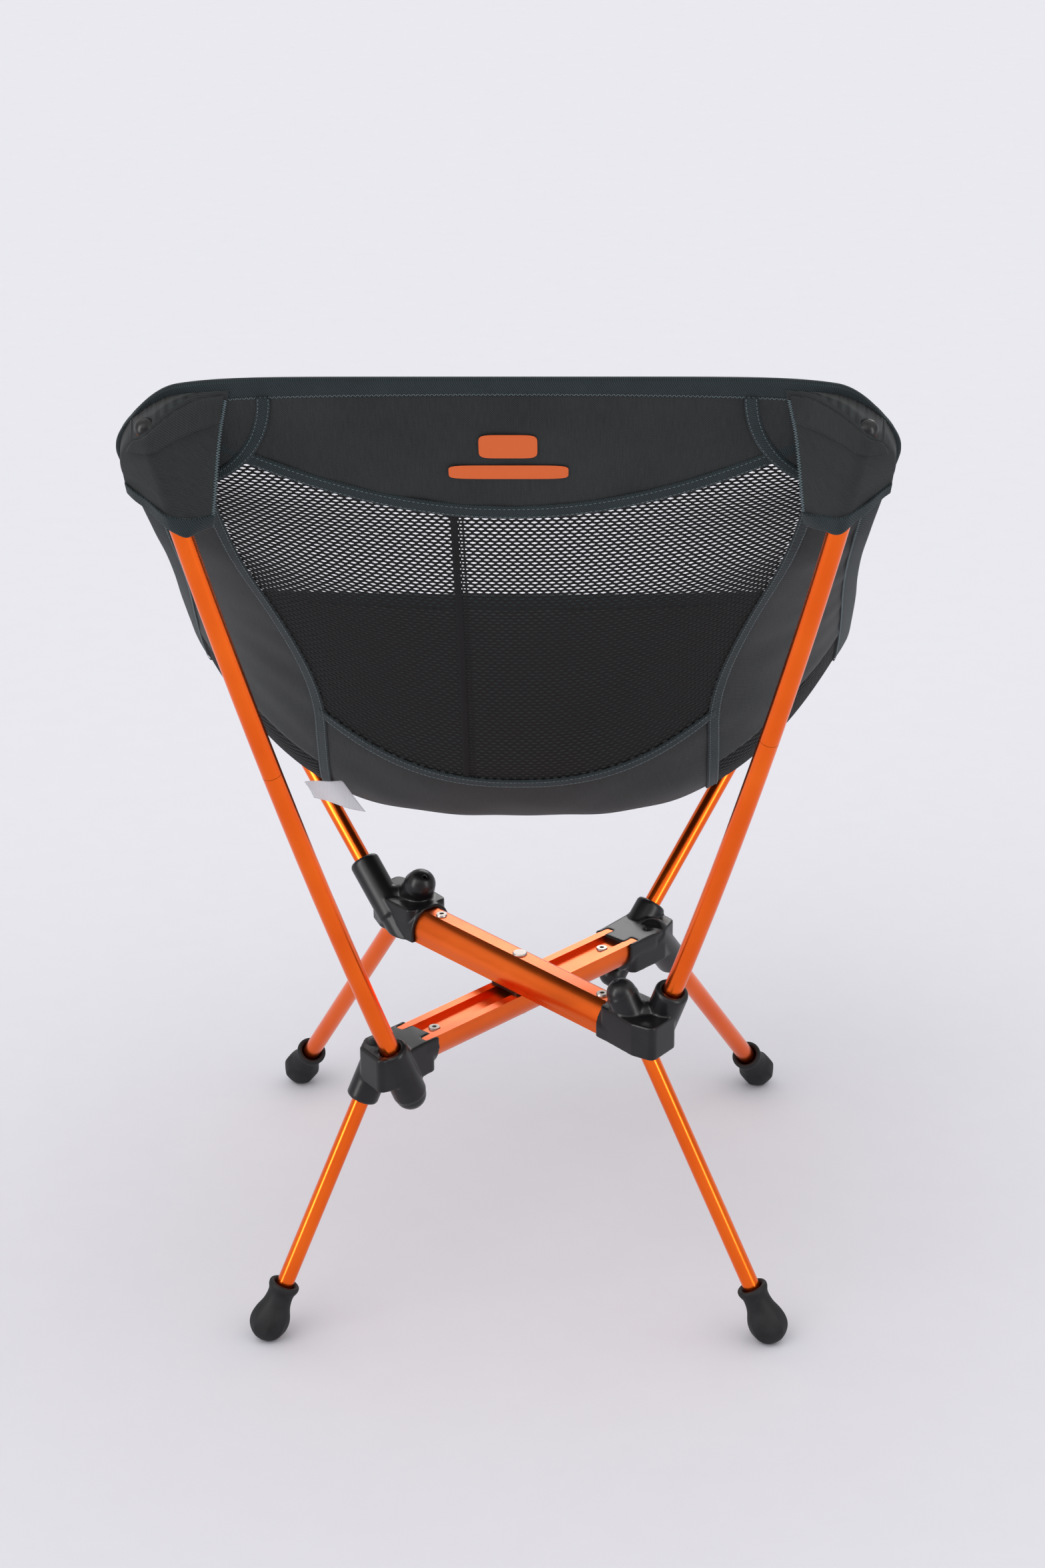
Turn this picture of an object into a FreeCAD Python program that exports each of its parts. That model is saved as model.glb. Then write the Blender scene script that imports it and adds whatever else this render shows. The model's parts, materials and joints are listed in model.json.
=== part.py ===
"""Ultralight backpacking chair: a folding cross frame of anodised tubes carrying a fabric sling.

Millimetres. +Z is up, the sitter faces +Y, and the origin is on the ground under the centre of the chair's
box. Points in this file are first given about the centre rivet's axis and moved to the origin by `shift`.
"""
import FreeCAD, Part
import math
import os
import Sketcher
from FreeCAD import Placement, Rotation, Vector

doc = FreeCAD.newDocument("backpacking_chair")
sheet = doc.addObject("Spreadsheet::Sheet", "Sizes")

# ---------------------------------------------------------------- driving dimensions
DIMENSIONS = (
    # crossbars
    ("bar_angle", 47.4), ("bar_width", 33.0), ("bar_height", 23.0), ("bar_flat", 11.0),
    ("bar_reach", 118.0), ("channel_width", 19.0), ("channel_depth", 4.0), ("bar_wall", 1.6),
    ("lower_lips_z", 239.5), ("upper_lips_z", 241.5),
    # rivets and spacer
    ("pivot_head_dia", 11.4), ("pivot_shank_dia", 6.0), ("rivet_head_high", 1.4),
    ("end_rivet_reach", 93.4), ("end_rivet_head_dia", 9.2), ("end_rivet_shank_dia", 5.0),
    ("end_rivet_bore_dia", 3.6), ("spacer_size", 34.0),
    # tubes
    ("thick_tube_dia", 14.5), ("thin_tube_dia", 13.0), ("tube_wall", 1.0), ("ferrule_dia", 11.9),
    ("ferrule_wall", 1.0), ("ferrule_half", 30.0), ("joint_gap", 0.3), ("socket_clearance", 0.08),
    ("back_pole_bow", 7.5), ("back_pole_joint", 0.52), ("cord_dia", 2.6),
    # hubs
    ("hub_rise", 0.7), ("hub_depth", 44.0), ("socket_wall", 4.4), ("sleeve_start", 107.0),
    ("sleeve_wall", 3.0), ("plug_start", 82.0), ("web_depth", 27.0),
    # feet
    ("foot_ball_dia", 30.4), ("foot_ball_z", 14.6), ("foot_neck_dia", 19.5), ("foot_collar_dia", 23.0),
    ("foot_long", 34.0), ("foot_grip", 24.0),
    # sling
    ("fabric_thick", 1.2), ("binding_thick", 2.6), ("seam_gap", 0.6),
    ("pocket_long", 46.0), ("pocket_wall", 1.4), ("pocket_play", 0.6), ("front_offset", 18.7), ("side_offset", 0.5),
)
for row, (alias, value) in enumerate(DIMENSIONS, start=1):
    sheet.set("A%d" % row, alias)
    sheet.set("B%d" % row, str(value))
    sheet.setAlias("B%d" % row, alias)
doc.recompute()


def size(alias):
    """The value of one cell of the sheet."""
    return float(getattr(sheet, alias))


def ref(alias):
    """The expression text that binds a property to one cell."""
    return "Sizes." + alias


# The chair's box is not centred on the rivet: everything is moved by half the difference.
shift = Vector(size("side_offset"), -size("front_offset"), 0.0)

# ---------------------------------------------------------------- points of the frame, about the rivet's axis
REAR_FOOT = Vector(190.5, -129.0, size("foot_ball_z"))
FRONT_FOOT = Vector(200.0, 284.0, size("foot_ball_z"))
BACK_TIP = Vector(222.0, -242.0, 725.0)
BACK_TIP_PAST = 38.0
SEAT_TIP_LEFT = Vector(-249.3, 263.9, 452.0)
SEAT_TIP_RIGHT = Vector(240.0, 265.0, 452.0)


def mirrored(point):
    return Vector(-point.x, point.y, point.z)


class HubSeat:
    """Where one hub sits: axis d runs out along the bar, p to the side, n is the flat face's normal.

    The lower bar carries its hubs flat side up, the upper bar flat side down.
    """

    def __init__(self, east, north, lower):
        angle = math.radians(size("bar_angle"))
        self.d = Vector(east * math.cos(angle), north * math.sin(angle), 0)
        self.n = Vector(0, 0, 1 if lower else -1)
        self.p = self.n.cross(self.d)
        self.lips = Vector(0, 0, size("lower_lips_z" if lower else "upper_lips_z"))
        self.flat = self.lips + self.n * size("hub_rise")

    def point(self, out, side, deep=0.0):
        return self.flat + self.d * out + self.p * side - self.n * deep

    def placement(self, origin):
        turn = Rotation(self.d, self.p, self.n, "ZXY")
        return Placement(origin + shift, turn)


REAR_LEFT = HubSeat(-1, -1, True)
FRONT_RIGHT = HubSeat(1, 1, True)
REAR_RIGHT = HubSeat(1, -1, False)
FRONT_LEFT = HubSeat(-1, 1, False)


class Run:
    """A straight run of tube from a point inside a hub to a far end."""

    def __init__(self, inner, outer):
        self.inner = inner
        self.outer = outer
        self.along = (outer - inner).normalize()
        self.length = (outer - inner).Length

    def at(self, distance):
        return self.inner + self.along * distance

    def deep(self, seat, depth):
        """The point of this run's line that lies a depth below a hub's flat face."""
        gap = (seat.flat - self.inner).dot(seat.n) - depth
        return self.inner + self.along * (gap / self.along.dot(seat.n))


def run_through(seat, anchor, outer, start_depth):
    """A run whose line passes a hub's anchor point and that starts a depth below its flat face."""
    line = Run(anchor, outer)
    return Run(line.deep(seat, start_depth), outer)


# Legs: the tube starts in its hub and ends inside the rubber foot.
LEG_RUNS = {
    "rear_left": run_through(REAR_LEFT, REAR_LEFT.point(138.0, -6.5), mirrored(REAR_FOOT), 5.0),
    "rear_right": run_through(REAR_RIGHT, REAR_RIGHT.point(132.5, 5.5, 21.0), REAR_FOOT, 38.0),
    "front_left": run_through(FRONT_LEFT, FRONT_LEFT.point(156.0, 9.4), mirrored(FRONT_FOOT), 38.0),
    "front_right": run_through(FRONT_RIGHT, FRONT_RIGHT.point(148.0, -6.0, 10.5), FRONT_FOOT, 5.0),
}
SEAT_POLE_RUNS = {
    "left": run_through(FRONT_LEFT, FRONT_LEFT.point(171.5, -10.5, 40.0), SEAT_TIP_LEFT, 12.0),
    "right": run_through(FRONT_RIGHT, FRONT_RIGHT.point(158.0, 11.0), SEAT_TIP_RIGHT, 28.0),
}
BACK_POLE_FEET = {
    "left": (REAR_LEFT, REAR_LEFT.point(148.0, 12.5), 38.0),
    "right": (REAR_RIGHT, REAR_RIGHT.point(152.0, -12.0, 39.5), 11.0),
}


class Bow:
    """A gently bent back pole: a circle's arc from a hub to the sling's corner."""

    def __init__(self, side):
        seat, anchor, start_depth = BACK_POLE_FEET[side]
        tip = BACK_TIP if side == "right" else mirrored(BACK_TIP)
        chord = run_through(seat, anchor, tip, start_depth)
        self.end = chord.at(chord.length + BACK_TIP_PAST)
        self.start = chord.inner
        self.span = (self.end - self.start).Length
        outwards = Vector(1 if side == "right" else -1, 0, 0)
        self.e = (self.end - self.start).normalize()
        self.b = (outwards - self.e * outwards.dot(self.e)).normalize()
        bow = size("back_pole_bow")
        self.radius = (self.span ** 2 / 4 + bow ** 2) / (2 * bow)
        self.half_turn = math.asin(self.span / 2 / self.radius)
        middle = (self.start + self.end) * 0.5
        self.centre = middle - self.b * (self.radius - bow)

    def turn_at(self, share):
        """The arc's angle at a share of its length, measured from its middle."""
        return self.half_turn * (2 * share - 1)

    def point(self, turn):
        return self.centre + self.b * (self.radius * math.cos(turn)) + self.e * (self.radius * math.sin(turn))

    def tangent(self, turn):
        return self.e * math.cos(turn) - self.b * math.sin(turn)

    def socket_run(self):
        """The straight line that the arc's first stretch, inside its hub, keeps closest to."""
        turn = self.turn_at(0) + 19.0 / self.radius
        along = self.tangent(turn)
        inner = self.point(turn) - along * 19.0
        return Run(inner, inner + along * 80.0)

    def placement(self, turn):
        """Z along the pole and X towards the arc's centre."""
        along = self.tangent(turn)
        inwards = (self.centre - self.point(turn)).normalize()
        return Placement(self.point(turn) + shift, Rotation(inwards, along.cross(inwards), along, "ZXY"))


BOWS = {"left": Bow("left"), "right": Bow("right")}


def facing(point, along):
    """A placement with its Z axis along a direction."""
    return Placement(point + shift, Rotation(Vector(0, 0, 1), along))


# ---------------------------------------------------------------- helpers for bodies
def new_body(label):
    body = doc.addObject("PartDesign::Body", label)
    body.Label = label
    return body


def new_sketch(body, name, role="XY_Plane"):
    sketch = body.newObject("Sketcher::SketchObject", body.Name + "_" + name)
    plane = [feature for feature in body.Origin.OriginFeatures if feature.Role == role][0]
    sketch.AttachmentSupport = [(plane, "")]
    sketch.MapMode = "FlatFace"
    return sketch


def circle(sketch, alias, formula=None):
    """A circle about the sketch's origin whose diameter follows the sheet."""
    edge = sketch.addGeometry(Part.Circle(Vector(0, 0, 0), Vector(0, 0, 1), 5.0), False)
    sketch.addConstraint(Sketcher.Constraint("Coincident", edge, 3, -1, 1))
    rule = sketch.addConstraint(Sketcher.Constraint("Diameter", edge, 10.0))
    sketch.setExpression("Constraints[%d]" % rule, formula or ref(alias))
    return edge


def straight_tube(label, run, alias, length=None, wall="tube_wall"):
    """A round tube as a body: a ring sketch and a pad along the run."""
    body = new_body(label)
    ring = new_sketch(body, "ring")
    circle(ring, alias)
    circle(ring, alias, "%s - 2 * %s" % (ref(alias), ref(wall)))
    pad = body.newObject("PartDesign::Pad", label + "_pad")
    pad.Profile = ring
    pad.Length = length or run.length
    body.Tip = pad
    body.Placement = facing(run.inner, run.along)
    return body


def bent_tube(label, bow, first_turn, last_turn, alias, wall):
    """A round tube as a body: a ring sketch revolved about the bow's centre line."""
    body = new_body(label)
    ring = new_sketch(body, "ring")
    circle(ring, alias)
    circle(ring, alias, "%s - 2 * %s" % (ref(alias), ref(wall)))
    reach = bow.radius
    line = ring.addGeometry(Part.LineSegment(Vector(reach, -10, 0), Vector(reach, 10, 0)), True)
    ring.addConstraint(Sketcher.Constraint("Vertical", line))
    ring.addConstraint(Sketcher.Constraint("DistanceX", -1, 1, line, 1, reach))
    ring.addConstraint(Sketcher.Constraint("DistanceY", line, 1, line, 2, 20.0))
    ring.addConstraint(Sketcher.Constraint("DistanceY", line, 1, -1, 1, 10.0))
    sweep = body.newObject("PartDesign::Revolution", label + "_sweep")
    sweep.Profile = ring
    sweep.ReferenceAxis = (ring, ["Axis0"])
    sweep.Angle = math.degrees(last_turn - first_turn)
    doc.recompute()
    if sweep.Shape.BoundBox.Center.z < 0:
        sweep.Reversed = True
    body.Tip = sweep
    body.Placement = bow.placement(first_turn)
    return body


def round_piece(label, corners, placement, arcs=()):
    """A turned piece as a body: a half profile of (radius, height) corners revolved about Z.

    `arcs` maps a corner's index to a middle point: the edge that leaves that corner is an arc through it.
    """
    body = new_body(label)
    sketch = new_sketch(body, "profile", "XZ_Plane")
    middles = dict(arcs)
    for index, corner in enumerate(corners):
        after = corners[(index + 1) % len(corners)]
        start, end = Vector(corner[0], corner[1], 0), Vector(after[0], after[1], 0)
        if index in middles:
            bulge = Vector(middles[index][0], middles[index][1], 0)
            sketch.addGeometry(Part.Arc(start, bulge, end), False)
        else:
            sketch.addGeometry(Part.LineSegment(start, end), False)
    turned = body.newObject("PartDesign::Revolution", label + "_turned")
    turned.Profile = sketch
    turned.ReferenceAxis = (sketch, ["V_Axis"])
    turned.Angle = 360.0
    body.Tip = turned
    body.Placement = placement
    return body


nodes = []


def keep(piece, label=None):
    """Lists a finished sub-part under its node name."""
    if label:
        piece.Label = label
    nodes.append(piece)
    return piece


def solid_feature(label, shape, placement=None):
    """A sub-part or a tool whose shape is worked out by Part's own functions."""
    feature = doc.addObject("Part::Feature", label)
    feature.Shape = shape
    if placement is not None:
        feature.Placement = placement
    return feature


# ---------------------------------------------------------------- crossbars
DRILL_REACH = 30.0  # how far a rivet's drill runs each side of the lips' plane
PLUG_PLAY = 0.15    # gap between the bar's inner wall and the moulding inside it


def bar_outline():
    """The bar's closed outer section as a wire: X across, Y from the lips (0) to the narrow flat."""
    half, high, flat = size("bar_width") / 2, size("bar_height"), size("bar_flat") / 2
    slot, floor = size("channel_width") / 2, size("channel_depth")
    side_start, side_mid = 4.0, (half - 2.1, high * 0.68)
    points = [Vector(slot, floor, 0), Vector(slot, 0, 0), Vector(half, 0, 0), Vector(half, side_start, 0)]
    edges = [Part.LineSegment(a, b).toShape() for a, b in zip(points, points[1:])]
    edges.append(Part.Arc(points[-1], Vector(side_mid[0], side_mid[1], 0), Vector(flat, high, 0)).toShape())
    edges.append(Part.LineSegment(Vector(flat, high, 0), Vector(-flat, high, 0)).toShape())
    edges.append(Part.Arc(Vector(-flat, high, 0), Vector(-side_mid[0], side_mid[1], 0),
                          Vector(-half, side_start, 0)).toShape())
    rest = [Vector(-half, side_start, 0), Vector(-half, 0, 0), Vector(-slot, 0, 0), Vector(-slot, floor, 0),
            Vector(slot, floor, 0)]
    edges += [Part.LineSegment(a, b).toShape() for a, b in zip(rest, rest[1:])]
    return Part.Wire(edges)


def cavity_outline(shrink=0.0):
    """The bar's hollow: inside the rounded sides, above the channel's floor."""
    wall = size("bar_wall") + shrink
    half, high = size("bar_width") / 2 - wall, size("bar_height") - wall
    flat = size("bar_flat") / 2 - wall * 0.5
    floor = size("channel_depth") + wall
    bulge = (half - 1.7, high * 0.69)
    corner_right, corner_left = Vector(half - 0.4, floor, 0), Vector(-half + 0.4, floor, 0)
    edges = [Part.Arc(corner_right, Vector(bulge[0], bulge[1], 0), Vector(flat, high, 0)).toShape(),
             Part.LineSegment(Vector(flat, high, 0), Vector(-flat, high, 0)).toShape(),
             Part.Arc(Vector(-flat, high, 0), Vector(-bulge[0], bulge[1], 0), corner_left).toShape(),
             Part.LineSegment(corner_left, corner_right).toShape()]
    return Part.Wire(edges)


def stretched(wire, length):
    return Part.Face(wire).extrude(Vector(0, 0, length))


def bar_placement(seat, start):
    """Section X across the bar, section Y away from the lips, Z out along the bar."""
    turn = Rotation(seat.d.cross(seat.n), -seat.n, seat.d, "ZXY")
    return Placement(seat.lips + seat.d * start + shift, turn)


def sketch_from(body, name, wires):
    """A sketch that holds the edges of one or more planar wires."""
    sketch = new_sketch(body, name)
    for wire in wires:
        for edge in wire.Edges:
            first, last = edge.valueAt(edge.FirstParameter), edge.valueAt(edge.LastParameter)
            if edge.Curve.TypeId == "Part::GeomCircle":
                middle = edge.valueAt((edge.FirstParameter + edge.LastParameter) / 2)
                sketch.addGeometry(Part.Arc(first, middle, last), False)
            else:
                sketch.addGeometry(Part.LineSegment(first, last), False)
    return sketch


def crossbar(label, seat):
    """One extruded bar with its two end rivet holes and the pivot hole."""
    body = new_body(label + "_extrusion")
    section = sketch_from(body, "section", [bar_outline(), cavity_outline()])
    pad = body.newObject("PartDesign::Pad", label + "_pad")
    pad.Profile = section
    pad.setExpression("Length", "2 * " + ref("bar_reach"))
    body.Tip = pad
    body.Placement = bar_placement(seat, -size("bar_reach"))
    drills = []
    for name, reach, alias in (("pivot", 0.0, "pivot_shank_dia"),
                               ("near", -size("end_rivet_reach"), "end_rivet_shank_dia"),
                               ("far", size("end_rivet_reach"), "end_rivet_shank_dia")):
        drill = doc.addObject("Part::Cylinder", "%s_%s_drill" % (label, name))
        drill.setExpression("Radius", "%s / 2 + %s" % (ref(alias), ref("socket_clearance")))
        drill.Height = 2 * DRILL_REACH
        drill.Placement = Placement(seat.lips + seat.d * reach - Vector(0, 0, DRILL_REACH) + shift, Rotation())
        drills.append(drill)
    tools = doc.addObject("Part::MultiFuse", label + "_drills")
    tools.Shapes = drills
    bar = doc.addObject("Part::Cut", label)
    bar.Base = body
    bar.Tool = tools
    return keep(bar, label)


crossbar("lower_crossbar", FRONT_RIGHT)
crossbar("upper_crossbar", REAR_RIGHT)


# ---------------------------------------------------------------- rivets and spacer
def end_rivet(seat, sign):
    """A tubular rivet: heads on the narrow flat and on the channel's floor, open right through."""
    shank, head = size("end_rivet_shank_dia") / 2, size("end_rivet_head_dia") / 2
    bore, high = size("end_rivet_bore_dia") / 2, size("rivet_head_high")
    bottom, top = size("channel_depth"), size("bar_height")
    corners = [(bore, bottom - high), (head - 0.5, bottom - high), (head, bottom), (shank, bottom),
               (shank, top), (head, top), (head - 0.5, top + high), (bore, top + high)]
    wire = Part.makePolygon([Vector(x, 0, z) for x, z in corners + corners[:1]])
    turned = Part.Face(wire).revolve(Vector(0, 0, 0), Vector(0, 0, 1), 360)
    origin = seat.lips + seat.d * (sign * size("end_rivet_reach")) + shift
    turned.Placement = Placement(origin, Rotation(seat.d, seat.p, -seat.n, "ZXY"))
    return turned


for label, seat in (("end_rivets_lower", FRONT_RIGHT), ("end_rivets_upper", REAR_RIGHT)):
    keep(solid_feature(label, Part.makeCompound([end_rivet(seat, -1), end_rivet(seat, 1)])), label)

half_spacer = size("spacer_size") / 2
spacer_low = size("lower_lips_z") + size("socket_clearance")
spacer_high = size("upper_lips_z")
plate = Part.makeBox(2 * half_spacer, 2 * half_spacer, spacer_high - spacer_low,
                     Vector(-half_spacer, -half_spacer, spacer_low))
plate = plate.makeFillet(5.0, [edge for edge in plate.Edges if abs(edge.tangentAt(0).z) > 0.9])
key_half = size("channel_width") / 2 - PLUG_PLAY
key = Part.makeBox(2 * half_spacer, 2 * key_half, size("channel_depth") - PLUG_PLAY,
                   Vector(-half_spacer, -key_half, spacer_high))
boss = Part.makeCylinder(key_half, size("channel_depth") - PLUG_PLAY, Vector(0, 0, spacer_low), Vector(0, 0, -1))
pivot_hole = Part.makeCylinder(size("pivot_shank_dia") / 2 + size("socket_clearance"), 2 * DRILL_REACH,
                               Vector(0, 0, spacer_low - DRILL_REACH))
spacer_shape = plate.fuse([key, boss]).removeSplitter().cut(pivot_hole)
keep(solid_feature("pivot_spacer", spacer_shape,
                   Placement(shift, Rotation(Vector(0, 0, 1), -size("bar_angle")))), "pivot_spacer")

shank, head = size("pivot_shank_dia") / 2, size("pivot_head_dia") / 2
rivet_top = size("upper_lips_z") + size("bar_height")
rivet_low = size("lower_lips_z") - size("bar_height") - 0.05
head_high = size("rivet_head_high")
round_piece("pivot_rivet",
            [(0, rivet_low - head_high), (head - 0.6, rivet_low - head_high), (head, rivet_low - 0.5),
             (head, rivet_low), (shank, rivet_low), (shank, rivet_top), (head, rivet_top),
             (head, rivet_top + 0.6), (head - 0.7, rivet_top + head_high), (0, rivet_top + head_high)],
            Placement(shift, Rotation()))
keep(doc.getObject("pivot_rivet"))


# ---------------------------------------------------------------- legs and feet
def rod(label, start, along, length, alias, extra="0"):
    """A plain cylinder whose radius follows the sheet."""
    cylinder = doc.addObject("Part::Cylinder", label)
    cylinder.setExpression("Radius", "%s / 2 + %s" % (ref(alias), extra))
    cylinder.Height = length
    cylinder.Placement = facing(start, along)
    return cylinder


LEG_TUBES = {"rear_left": "thin_tube_dia", "rear_right": "thin_tube_dia",
             "front_left": "thick_tube_dia", "front_right": "thick_tube_dia"}


def foot(name, run, alias):
    """A rubber ball foot on the leg's end, with a neck, a flared collar and a flat that meets the ground."""
    ball, tube = size("foot_ball_dia") / 2, size(alias) / 2
    wider = tube - size("thin_tube_dia") / 2
    neck, collar = size("foot_neck_dia") / 2 + wider, size("foot_collar_dia") / 2 + wider
    top, bore = size("foot_long"), tube + 0.02
    diagonal = ball * math.sqrt(0.5)
    corners = [(0, -ball), (ball, 0), (neck, 13.0), (neck, top - 7), (collar, top - 3), (collar, top - 1),
               (bore + 0.7, top), (bore, top - 0.7), (bore, top - size("foot_grip")),
               (0, top - size("foot_grip"))]
    arcs = {0: (diagonal, -diagonal), 1: (ball * 0.94, 6.4)}
    turned = round_piece(name + "_ball", corners, facing(run.outer, -run.along), arcs)
    ground = doc.addObject("Part::Box", name + "_ground")
    ground.Length = ground.Width = 2 * size("foot_ball_dia")
    ground.Height = 20.0
    corner = Vector(run.outer.x, run.outer.y, -20.0) - Vector(1, 1, 0) * size("foot_ball_dia")
    ground.Placement = Placement(corner + shift, Rotation())
    cut = doc.addObject("Part::Cut", name)
    cut.Base, cut.Tool = turned, ground
    return keep(cut, name)


for corner, run in LEG_RUNS.items():
    alias = LEG_TUBES[corner]
    tube_length = run.length - size("foot_long") + size("foot_grip")
    keep(straight_tube("leg_tube_" + corner, run, alias, tube_length))
    foot("foot_" + corner, run, alias)
    cord = rod("shock_cord_" + corner, run.at(1.0), run.along, tube_length - 2.0, "cord_dia")
    keep(cord, "shock_cord_" + corner)


# ---------------------------------------------------------------- poles
CROWN = 1.2  # radius of the small flat on top of a dome


def tip_cap(label, alias, placement):
    """A plastic plug with a domed head that closes a pole's end."""
    tube = size(alias) / 2
    plug = tube - size("tube_wall") - 0.02
    corners = [(0, -10.0), (plug, -10.0), (plug, 0), (tube, 0), (tube, 1.5), (CROWN, tube), (0, tube)]
    return keep(round_piece(label, corners, placement, {4: (tube * 0.72, tube * 0.76)}), label)


for side, run in SEAT_POLE_RUNS.items():
    keep(straight_tube("seat_pole_" + side, run, "thin_tube_dia"))
    tip_cap("seat_pole_cap_" + side, "thin_tube_dia", facing(run.outer, run.along))

for side, bow in BOWS.items():
    joint_turn = bow.turn_at(size("back_pole_joint"))
    gap_turn = size("joint_gap") / bow.radius
    grip_turn = size("ferrule_half") / bow.radius
    keep(bent_tube("back_pole_lower_" + side, bow, bow.turn_at(0), joint_turn, "thick_tube_dia", "tube_wall"))
    keep(bent_tube("back_pole_upper_" + side, bow, joint_turn + gap_turn, bow.turn_at(1),
                   "thick_tube_dia", "tube_wall"))
    keep(bent_tube("back_pole_ferrule_" + side, bow, joint_turn - grip_turn, joint_turn + grip_turn,
                   "ferrule_dia", "ferrule_wall"))
    tip_cap("back_pole_cap_" + side, "thick_tube_dia", bow.placement(bow.turn_at(1)))


# ---------------------------------------------------------------- hubs
TRIM = 2.0          # what is cut off to make the hub's flat face
SLEEVE_LONG = 30.0  # length of the sleeve round the bar's end
WEB_CORNER = 5.0    # radius of the web's upright corners
BARREL_PAST = 12.0  # how far a socket's barrel runs past the flat face before it is trimmed


def sleeve_outline():
    """The hub's sleeve round the bar's end: rounded on three sides, and trimmed flat later on the lips' side."""
    grow = size("sleeve_wall")
    half, high, flat = size("bar_width") / 2 + grow, size("bar_height") + grow, size("bar_flat") / 2 + 1.5
    low = -size("hub_rise") - TRIM
    side = (half - 2.1, size("bar_height") * 0.72)
    edges = [Part.LineSegment(Vector(-half, low, 0), Vector(half, low, 0)).toShape(),
             Part.LineSegment(Vector(half, low, 0), Vector(half, 5, 0)).toShape(),
             Part.Arc(Vector(half, 5, 0), Vector(side[0], side[1], 0), Vector(flat, high, 0)).toShape(),
             Part.LineSegment(Vector(flat, high, 0), Vector(-flat, high, 0)).toShape(),
             Part.Arc(Vector(-flat, high, 0), Vector(-side[0], side[1], 0), Vector(-half, 5, 0)).toShape(),
             Part.LineSegment(Vector(-half, 5, 0), Vector(-half, low, 0)).toShape()]
    return Part.Wire(edges)


def hub(label, seat, flat_run, flat_alias, far_run, far_alias, web):
    """A moulded hub riveted to a bar's end.

    `flat_run` is the tube that enters through the flat face, `far_run` the one that leaves on the other side.
    """
    depth = size("hub_depth")
    sleeve = stretched(sleeve_outline(), SLEEVE_LONG)
    sleeve.Placement = bar_placement(seat, size("sleeve_start"))
    outline = Part.makePolygon([Vector(out, side, 0) for out, side in web + web[:1]])
    outline.translate(Vector(0, 0, TRIM))
    block = Part.Face(outline).extrude(Vector(0, 0, -size("web_depth") - TRIM))
    rounded = [edge for edge in block.Edges if abs(edge.tangentAt(edge.FirstParameter).z) > 0.9]
    block = block.makeFillet(WEB_CORNER, rounded)
    block.Placement = seat.placement(seat.flat)

    flat_end, far_top = flat_run.deep(seat, depth - 2), far_run.deep(seat, -BARREL_PAST)
    flat_mouth, far_mouth = flat_run.deep(seat, -BARREL_PAST), far_run.deep(seat, depth + 2)
    barrels = [rod(label + "_flat_barrel", flat_end, flat_mouth - flat_end, (flat_mouth - flat_end).Length,
                   flat_alias, ref("socket_wall")),
               rod(label + "_far_barrel", far_top, far_mouth - far_top, (far_mouth - far_top).Length,
                   far_alias, ref("socket_wall"))]
    cap = doc.addObject("Part::Sphere", label + "_bulb")
    cap.setExpression("Radius", "%s / 2 + %s + 0.4" % (ref(flat_alias), ref("socket_wall")))
    cap.Placement = Placement(flat_run.deep(seat, depth - 4) + shift, Rotation())
    core = stretched(cavity_outline(), size("bar_reach") + 4 - size("plug_start"))
    core.Placement = bar_placement(seat, size("plug_start"))
    lump = doc.addObject("Part::MultiFuse", label + "_lump")
    lump.Refine = False
    lump.Shapes = [solid_feature(label + "_sleeve", sleeve), solid_feature(label + "_web", block),
                   solid_feature(label + "_core", core), cap] + barrels

    keepers = Part.makeBox(200, 200, 90, Vector(20, -100, -90))
    keepers.Placement = seat.placement(seat.flat)
    trimmed = doc.addObject("Part::MultiCommon", label + "_trimmed")
    trimmed.Shapes = [lump, solid_feature(label + "_flat_side", keepers)]

    walls = stretched(bar_outline(), size("bar_reach") - 60).cut(stretched(cavity_outline(PLUG_PLAY), 200))
    walls.Placement = bar_placement(seat, 60)
    reach = seat.lips + seat.d * size("end_rivet_reach") + shift - Vector(0, 0, 40)
    hole = Part.makeCylinder(size("end_rivet_shank_dia") / 2 + size("socket_clearance"), 80, reach)
    far_start = far_run.inner - far_run.along * 0.5
    flat_start = flat_run.inner - flat_run.along * 0.5
    bores = [rod(label + "_flat_bore", flat_start, flat_run.along, 90.0, flat_alias, ref("socket_clearance")),
             rod(label + "_far_bore", far_start, far_run.along, 90.0, far_alias, ref("socket_clearance")),
             rod(label + "_cord_hole", far_run.deep(seat, -2.0), far_run.along, 14.0, "cord_dia", "1.6"),
             rod(label + "_cap_hole", flat_run.deep(seat, depth + 16), flat_run.along, 30.0, "cord_dia", "0.4")]
    tools = doc.addObject("Part::MultiFuse", label + "_tools")
    tools.Shapes = [solid_feature(label + "_walls", walls), solid_feature(label + "_rivet_hole", hole)] + bores
    shell = doc.addObject("Part::Cut", label)
    shell.Base, shell.Tool = trimmed, tools
    return keep(shell, label)


REAR_WEB = [(110, -19), (110, 19), (148, 21), (166, 16), (160, -12), (146, -21)]
FRONT_WEB = [(110, -19), (110, 19), (152, 23), (170, 18), (166, -12), (148, -19)]
hub("hub_rear_left", REAR_LEFT, BOWS["left"].socket_run(), "thick_tube_dia",
    LEG_RUNS["rear_left"], "thin_tube_dia", REAR_WEB)
hub("hub_rear_right", REAR_RIGHT, LEG_RUNS["rear_right"], "thin_tube_dia",
    BOWS["right"].socket_run(), "thick_tube_dia", REAR_WEB)
hub("hub_front_left", FRONT_LEFT, LEG_RUNS["front_left"], "thick_tube_dia",
    SEAT_POLE_RUNS["left"], "thin_tube_dia", FRONT_WEB)
hub("hub_front_right", FRONT_RIGHT, SEAT_POLE_RUNS["right"], "thin_tube_dia",
    LEG_RUNS["front_right"], "thick_tube_dia", FRONT_WEB)

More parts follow.
